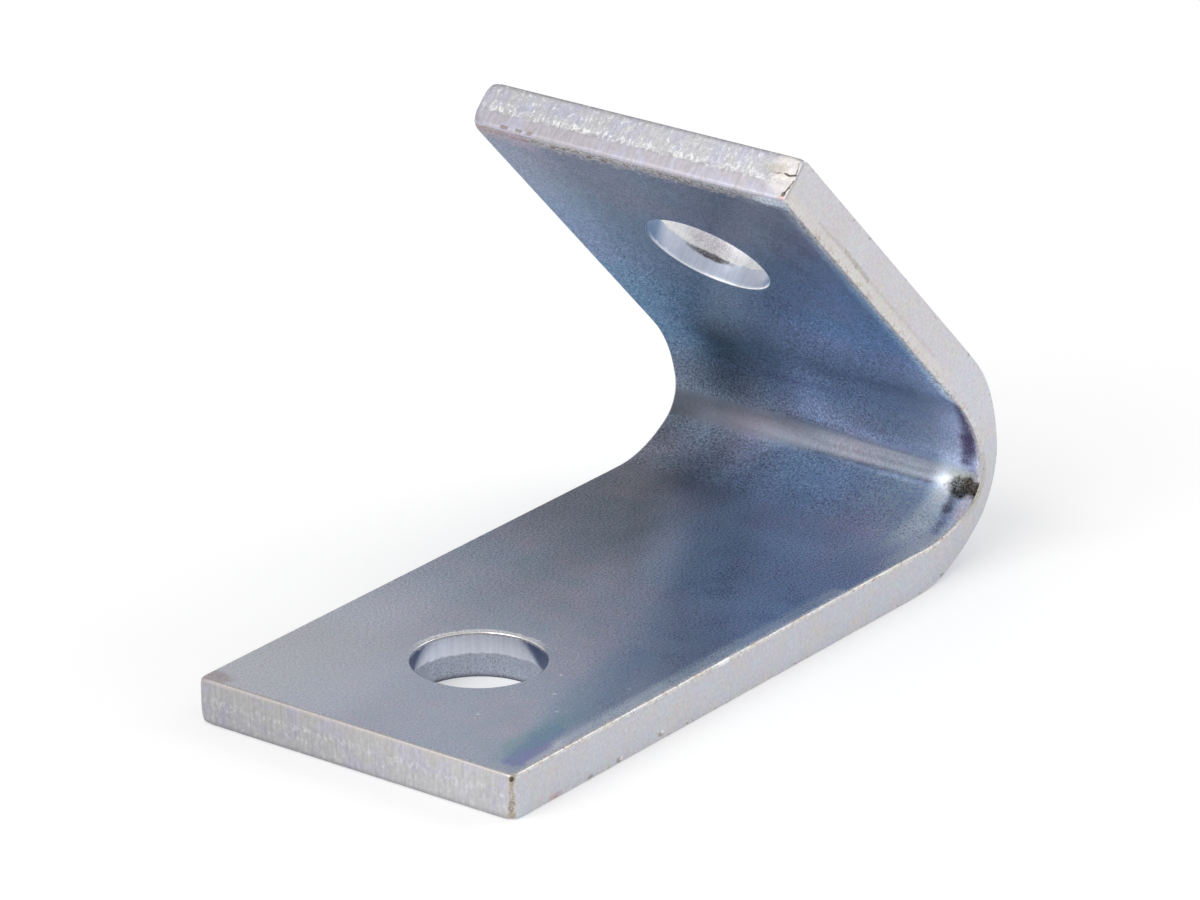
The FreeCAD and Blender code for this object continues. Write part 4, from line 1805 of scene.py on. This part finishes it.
@dataclass(frozen=True)
class CroppedEnd:
    """Zinc over a cropped end: a smooth land, then a torn part."""

    name: str
    land: Colour
    torn: Colour
    cloud: Colour
    tones: Pair
    relief: float
    glints: float
    land_depth: float
    marks: Marks
    wander_noise: Noise = (0.7, 4.0, 0.65)
    wander_stretch: Colour = (1.0, 0.5, 1.0)
    wander: float = 1.6
    grain_noise: Noise = (2.3, 5.0, 0.75)
    grain_stretch: Colour = (1.0, 0.55, 1.0)
    score_noise: Noise = (2.6, 3.0)
    score_stretch: Colour = (1.0, 0.08, 1.0)
    cloud_noise: Noise = (0.45, 3.0)
    frays_per_mm: float = 1.5
    tear: Ramp = Ramp(-0.1, 0.2)
    tone_span: Pair = (-19.0, 17.0)
    cloudy: Ramp = Ramp(0.46, 0.64, 0.0, 0.9)
    score_tones: Pair = (0.93, 1.06)
    grain_tones: Pair = (0.88, 1.08)
    torn_glints: Ramp = Ramp(0.55, 0.66)
    lip: Stripe = Stripe(0.3, 0.2, 0.35)
    lip_gaps: Ramp = Ramp(0.4, 0.55)
    lip_glints: Ramp = Ramp(0.42, 0.56)
    foot: Ramp = Ramp(4.3, 5.0, 1.0, 0.72)
    rough: Ramp = Ramp(0.0, 1.0, 0.46, 0.52)
    score_relief: float = 0.2

    def material(self) -> bpy.types.Material:
        """Makes the finish.

        Returns:
            The material.
        """
        sheet = NodeSheet(self.name)
        place, blank = sheet.place_mm(), sheet.blank_mm()
        across, depth, _ = sheet.parts(blank)
        sheet.rough_outlines(place, self.frays_per_mm)
        wander = sheet.noise(sheet.stretch(blank, self.wander_stretch), *self.wander_noise)
        land = sheet.math("MULTIPLY_ADD", wander, self.wander, self.land_depth - self.wander / 2)
        edge = sheet.math("SUBTRACT", depth, land)
        torn = sheet.curve(edge, self.tear)
        grain = sheet.noise(sheet.stretch(blank, self.grain_stretch), *self.grain_noise)
        scores = sheet.noise(sheet.stretch(blank, self.score_stretch), *self.score_noise)
        colour = sheet.mix(torn, self.land, self.torn)
        clouds = sheet.curve(sheet.noise(place, *self.cloud_noise), self.cloudy)
        colour = sheet.mix(clouds, colour, self.cloud)
        colour = sheet.shaded(colour, sheet.ramp(across, *self.tone_span, *self.tones))
        colour = sheet.grained(sheet.grained(colour, scores, self.score_tones), grain, self.grain_tones)
        # Painted glints: white specks over the torn part and along its lip.
        lip = sheet.product(sheet.curve(edge, self.lip), sheet.curve(wander, self.lip_gaps),
                            sheet.curve(grain, self.lip_glints))
        glint = sheet.math("MAXIMUM", sheet.curve(grain, self.torn_glints), lip)
        colour = sheet.mix(sheet.math("MULTIPLY", sheet.product(torn, glint), self.glints), colour, WHITE)
        colour = sheet.shaded(colour, sheet.curve(depth, self.foot))
        colour, _ = sheet.marked(colour, blank, self.marks)
        height = sheet.product(torn, sheet.math("SUBTRACT", grain, 0.5))
        height = sheet.math("MULTIPLY_ADD", scores, self.score_relief, height)
        return sheet.metal(colour, sheet.curve(torn, self.rough), sheet.bump(height, self.relief))


BASE_END = CroppedEnd(
    name="base_end",
    land=(0.57, 0.56, 0.56),
    torn=(0.57, 0.57, 0.58),
    cloud=(0.55, 0.54, 0.62),
    tones=(1.05, 0.82),
    relief=0.03 * MM,
    glints=0.22,
    land_depth=1.8,
    marks=(
        Blot((0.0, 0.12), (20.0, 0.10), (0.64, 0.58, 0.55), 0.6, 0.5, 1.2, 0.6),
        Stroke((-19.65, 0.5), (-19.65, 5.0), 0.1, (0.66, 0.60, 0.53), 0.6, 0.20, 0.25, 0.4),
        Stroke((-19.6, 1.1), (-19.65, 2.7), -0.12, (0.33, 0.28, 0.20), 0.75, 0.16, 0.25, 0.8),
        Stroke((-19.6, 3.1), (-19.55, 3.9), -0.08, (0.26, 0.22, 0.15), 0.85, 0.14, 0.28, 0.7),
        Blot((-19.6, 4.5), (0.25, 0.20), (0.34, 0.29, 0.20), 0.75, 0.5, 0.8, 0.7),
        Blot((-19.62, 0.45), (0.22, 0.30), (0.40, 0.35, 0.25), 0.6, 0.5, 0.6, 0.3),
        Blot((-19.62, 0.42), (0.12, 0.18), (0.05, 0.04, 0.02), 0.95, 0.5, 0.6, 0.15),
    ),
)

BRACE_END = CroppedEnd(
    name="brace_end",
    land=(0.56, 0.53, 0.57),
    torn=(0.62, 0.62, 0.64),
    cloud=(0.58, 0.57, 0.67),
    tones=(1.09, 0.98),
    relief=0.10 * MM,
    glints=0.85,
    land_depth=1.7,
    marks=(
        Blot((-18.6, 3.7), (1.1, 0.6), (0.98, 0.92, 0.87), 0.7, 0.7, 0.9, 0.2),
        Blot((-18.8, 2.0), (0.9, 0.8), (0.98, 0.92, 0.87), 0.7, 0.7, 0.9, 0.2),
        Blot((-17.3, 3.3), (0.7, 0.30), (0.46, 0.44, 0.36), 0.55, 0.7, 0.9, 0.5),
        Stroke((-17.3, 2.80), (-18.4, 3.00), -0.13, (0.26, 0.22, 0.17), 0.7, 0.06, 0.16, 0.3),
        Stroke((-18.4, 3.00), (-19.1, 2.85), -0.10, (0.15, 0.12, 0.09), 0.9, 0.07, 0.16),
        Stroke((-19.1, 2.85), (-19.75, 3.05), -0.03, (0.12, 0.10, 0.07), 0.95, 0.08, 0.14),
        Stroke((-19.75, 3.05), (-19.7, 3.7), -0.08, (0.17, 0.14, 0.11), 0.85, 0.07, 0.14),
        Stroke((-19.7, 3.7), (-19.5, 4.4), -0.11, (0.30, 0.25, 0.21), 0.6, 0.07, 0.15, 0.4),
        Stroke((-19.8, 2.4), (-19.7, 1.5), -0.10, (0.22, 0.18, 0.14), 0.8, 0.06, 0.14),
        Stroke((-19.7, 1.5), (-19.5, 0.8), -0.06, (0.12, 0.09, 0.07), 0.9, 0.08, 0.14),
        Blot((-19.45, 0.65), (0.15, 0.20), (0.07, 0.05, 0.04), 0.9, 0.5, 0.6, 0.2),
        Blot((-19.4, 0.25), (0.22, 0.12), (0.56, 0.33, 0.29), 0.6, 0.6, 0.8, 0.4),
        Stroke((16.0, 0.26), (15.3, 0.30), -0.10, (0.26, 0.20, 0.19), 0.75, 0.12, 0.20),
        Stroke((14.1, 0.28), (13.5, 0.26), -0.10, (0.26, 0.23, 0.20), 0.75, 0.12, 0.20),
        Stroke((12.6, 0.28), (12.2, 0.28), -0.10, (0.30, 0.25, 0.22), 0.75, 0.12, 0.20),
    ),
)


@dataclass(frozen=True)
class PunchedWall:
    """Zinc over a hole's wall: smooth near the rim, and greyer where the slug broke away."""

    name: str
    land: Colour
    torn: Colour
    # side is painted shade at both ends of the wall as seen; rim is a painted highlight along its top.
    side: Colour
    rim: Colour
    step: Colour
    rough: Pair
    foot_tone: float
    pitting: float
    marks: Marks
    skew: float = 0.0
    shade_from: float = 6.5
    shade_fade: float = 1.6
    shade_lean: float = 0.4
    land_depth: float = 2.4
    grain_noise: Noise = (2.6, 4.0, 0.7)
    score_noise: Noise = (2.2, 3.0)
    score_stretch: Colour = (1.0, 0.05, 1.0)
    frays_per_mm: float = 1.5
    fray: float = 0.6
    tear: Ramp = Ramp(-0.1, 0.2)
    step_line: Stripe = Stripe(0.1, 0.12, 0.15)
    torn_front: Ramp = Ramp(8.0, 6.0, 0.45, 1.0)
    rim_glint_front: Ramp = Ramp(11.0, 8.0)
    rim_glint_depth: Ramp = Ramp(0.4, 0.25)
    foot_depths: Pair = (4.4, 5.0)
    score_tones: Pair = (0.93, 1.05)
    grain_tones: Pair = (0.96, 1.03)
    pits: Pair = (0.55, 0.36)
    land_relief: float = 0.3
    relief: float = 0.03 * MM

    def material(self) -> bpy.types.Material:
        """Makes the finish.

        Returns:
            The material.
        """
        sheet = NodeSheet(self.name)
        place, blank = sheet.place_mm(), sheet.blank_mm()
        way_round, depth, _ = sheet.parts(blank)
        sheet.rough_outlines(place, self.frays_per_mm)
        from_middle = sheet.math("ABSOLUTE", sheet.math("SUBTRACT", way_round, self.skew))
        aside = sheet.math("MULTIPLY_ADD", depth, -self.shade_lean, from_middle)
        edge = sheet.math("MULTIPLY_ADD", sheet.wobble, self.fray, depth)
        past_land = sheet.math("SUBTRACT", edge, self.land_depth)
        torn = sheet.curve(past_land, self.tear)
        grain = sheet.noise(place, *self.grain_noise)
        scores = sheet.noise(sheet.stretch(blank, self.score_stretch), *self.score_noise)
        # Painted shade: both ends of the visible wall turn dark, leaning with depth.
        sides = sheet.ramp(aside, self.shade_from, self.shade_from + self.shade_fade)
        colour = sheet.mix(sides, self.land, self.side)
        colour = sheet.mix(sheet.product(torn, sheet.curve(aside, self.torn_front)), colour, self.torn)
        colour = sheet.mix(sheet.curve(past_land, self.step_line), colour, self.step)
        # Painted highlight along the rim, over the middle of the visible wall.
        rim = sheet.product(sheet.curve(edge, self.rim_glint_depth), sheet.curve(from_middle, self.rim_glint_front))
        colour = sheet.mix(rim, colour, self.rim)
        colour = sheet.shaded(colour, sheet.ramp(depth, *self.foot_depths, 1.0, self.foot_tone))
        colour, _ = sheet.marked(colour, blank, self.marks)
        colour = sheet.grained(sheet.grained(colour, scores, self.score_tones), grain, self.grain_tones)
        pits = sheet.product(torn, sheet.ramp(sheet.specks, *self.pits, 0.0, self.pitting))
        colour = sheet.shaded(colour, sheet.math("SUBTRACT", 1.0, pits))
        height = sheet.product(grain, sheet.ramp(torn, 0.0, 1.0, self.land_relief, 1.0))
        return sheet.metal(colour, sheet.ramp(torn, 0.0, 1.0, *self.rough), sheet.bump(height, self.relief))


BASE_WALL = PunchedWall(
    name="base_hole_wall",
    land=(0.67, 0.70, 0.79),
    torn=(0.47, 0.51, 0.60),
    # The dark side is painted shade and the rim a painted highlight.
    side=(0.17, 0.21, 0.34),
    rim=(0.95, 0.93, 0.91),
    step=(0.46, 0.49, 0.56),
    rough=(0.26, 0.42),
    foot_tone=0.45,
    pitting=0.35,
    skew=0.9,
    shade_from=4.5,
    shade_lean=1.2,
    marks=(),
)

BRACE_WALL = PunchedWall(
    name="brace_hole_wall",
    land=(0.75, 0.79, 0.89),
    torn=(1.0, 0.98, 1.0),
    # The dark side is painted shade and the rim a painted highlight.
    side=(0.29, 0.43, 0.64),
    rim=(0.92, 0.94, 0.98),
    step=(1.0, 1.0, 0.98),
    rough=(0.40, 0.50),
    foot_tone=0.9,
    pitting=0.08,
    skew=1.4,
    shade_from=5.6,
    shade_fade=3.0,
    marks=(
        # A painted shadow beside the step, on the land; then a brownish stain on the torn part.
        Blot((0.3, 2.10), (1.3, 0.20), (0.07, 0.05, 0.055), 0.92, 0.6, 0.8, 0.3),
        Blot((-0.1, 3.3), (1.6, 0.6), (0.40, 0.34, 0.37), 0.45, 0.9, 0.6, 0.8),
    ),
)


@dataclass(frozen=True)
class SoftLamp:
    """A soft square lamp that faces the fitting."""

    name: str
    azimuth: float
    elevation: float
    distance: float
    size: float
    power: float

    def hang(self, aim: Vector) -> None:
        """Hangs the lamp.

        Args:
            aim: The point that it faces.
        """
        lamp = bpy.data.lights.new(self.name, "AREA")
        lamp.shape = "DISK"
        lamp.size = self.size
        lamp.energy = self.power
        holder = bpy.data.objects.new(self.name, lamp)
        holder.location = aim + heading_to(self.azimuth, self.elevation) * self.distance
        holder.rotation_euler = (aim - holder.location).to_track_quat("-Z", "Y").to_euler()
        bpy.context.scene.collection.objects.link(holder)


def heading_to(azimuth: float, elevation: float) -> Vector:
    """Direction from the fitting: azimuth 0 is -Y and 90 is +X, in degrees.

    Args:
        azimuth: Turn about the vertical.
        elevation: Angle above the floor.

    Returns:
        The unit direction.
    """
    turn, rise = math.radians(azimuth), math.radians(elevation)
    return Vector((math.sin(turn) * math.cos(rise), -math.cos(turn) * math.cos(rise), math.sin(rise)))


def seen_directly(sheet: NodeSheet) -> Socket:
    """Marks what the camera sees, straight or through a shiny or clear surface.

    Args:
        sheet: The material's sheet.

    Returns:
        1 where it is seen so, and 0 elsewhere.
    """
    path = sheet.node("LightPath")
    shiny = sheet.math("MAXIMUM", path.outputs["Is Glossy Ray"], path.outputs["Is Transmission Ray"])
    return sheet.math("MAXIMUM", path.outputs["Is Camera Ray"], shiny)


@dataclass(frozen=True)
class Studio:
    """The white floor, the soft lamps and the pale surround."""

    floor_radius: float = 4.0
    floor_corners: int = 64
    floor_gap: float = 0.02 * MM
    floor_colour: float = 0.80
    floor_glow: float = 0.26
    horizon: float = 0.82
    zenith: float = 0.72
    aim: Colour = (20.0 * MM, 0.0, 20.0 * MM)
    lamps: tuple[SoftLamp, ...] = (
        SoftLamp("left_lamp", -98.0, 41.0, 1.2, 1.05, 7.0),
        SoftLamp("right_lamp", 62.0, 36.0, 1.3, 0.9, 3.5),
    )

    def build(self) -> None:
        """Builds the floor, the surround and the lamps."""
        self.build_floor()
        self.build_surround()
        for lamp in self.lamps:
            lamp.hang(Vector(self.aim))

    def build_floor(self) -> None:
        """Lays a round white floor just under the fitting."""
        radius, count = self.floor_radius, self.floor_corners
        turns = [2 * math.pi * index / count for index in range(count)]
        mesh = bpy.data.meshes.new("floor")
        points = [(radius * math.cos(turn), radius * math.sin(turn), -self.floor_gap) for turn in turns]
        mesh.from_pydata(points, [], [tuple(range(count))])
        floor = bpy.data.objects.new("floor", mesh)
        bpy.context.scene.collection.objects.link(floor)
        sheet = NodeSheet("floor")
        matt = sheet.node("BsdfDiffuse")
        matt.inputs["Color"].default_value = (*[self.floor_colour] * 3, 1.0)
        glow = sheet.node("Emission")
        sheet.feed(glow.inputs["Strength"], sheet.math("MULTIPLY", seen_directly(sheet), self.floor_glow))
        both = sheet.node("AddShader")
        sheet.feed(both.inputs[0], matt.outputs[0])
        sheet.feed(both.inputs[1], glow.outputs[0])
        output = sheet.node("OutputMaterial")
        sheet.feed(output.inputs["Surface"], both.outputs[0])
        mesh.materials.append(sheet.material)

    def build_surround(self) -> None:
        """Sets a pale surround, a little greyer overhead than at the horizon."""
        world = bpy.data.worlds.new("surround")
        world.use_nodes = True
        bpy.context.scene.world = world
        sheet = NodeSheet("surround", world.node_tree)
        _, _, height = sheet.parts(sheet.node("TexCoord").outputs["Generated"])
        light = sheet.node("Background")
        sheet.feed(light.inputs["Strength"], sheet.ramp(height, 0.0, 1.0, self.horizon, self.zenith))
        output = sheet.node("OutputWorld")
        sheet.feed(output.inputs["Surface"], light.outputs[0])


@dataclass(frozen=True)
class ProductCamera:
    """A long lens at the photograph's angle."""

    azimuth: float = -53.11
    elevation: float = 22.11
    distance: float = 734.9 * MM
    target: Colour = (20.48 * MM, 0.0, 21.32 * MM)
    lens_mm: float = 214.5
    sensor_mm: float = 36.0

    def build(self) -> None:
        """Places the camera and makes it the scene's own."""
        data = bpy.data.cameras.new("camera")
        data.sensor_width = self.sensor_mm
        data.lens = self.lens_mm
        data.clip_start, data.clip_end = 0.01, 20.0
        camera = bpy.data.objects.new("camera", data)
        aim = Vector(self.target)
        camera.location = aim + heading_to(self.azimuth, self.elevation) * self.distance
        camera.rotation_euler = (aim - camera.location).to_track_quat("-Z", "Y").to_euler()
        bpy.context.scene.collection.objects.link(camera)
        bpy.context.scene.camera = camera


def main() -> None:
    """Builds the studio and the fitting, and reports each piece."""
    logging.basicConfig(level=logging.INFO, format="%(name)s: %(message)s")
    bpy.context.scene.view_settings.view_transform = "Standard"
    Studio().build()
    ProductCamera().build()
    folded_bar = FoldedBar()
    bar = folded_bar.build()
    folded_bar.dress(bar, {
        Surface.INSIDE: PinchedFace().material(),
        Surface.OUTSIDE: PlatedFace().material(),
        Surface.LONG_EDGE: LongEdge().material(),
        Surface.BASE_END: BASE_END.material(),
        Surface.BRACE_END: BRACE_END.material(),
        Surface.BASE_HOLE: BASE_WALL.material(),
        Surface.BRACE_HOLE: BRACE_WALL.material(),
    })
    LOG.info("%s: %d faces", bar.name, len(bar.data.polygons))


if __name__ == "__main__":
    main()
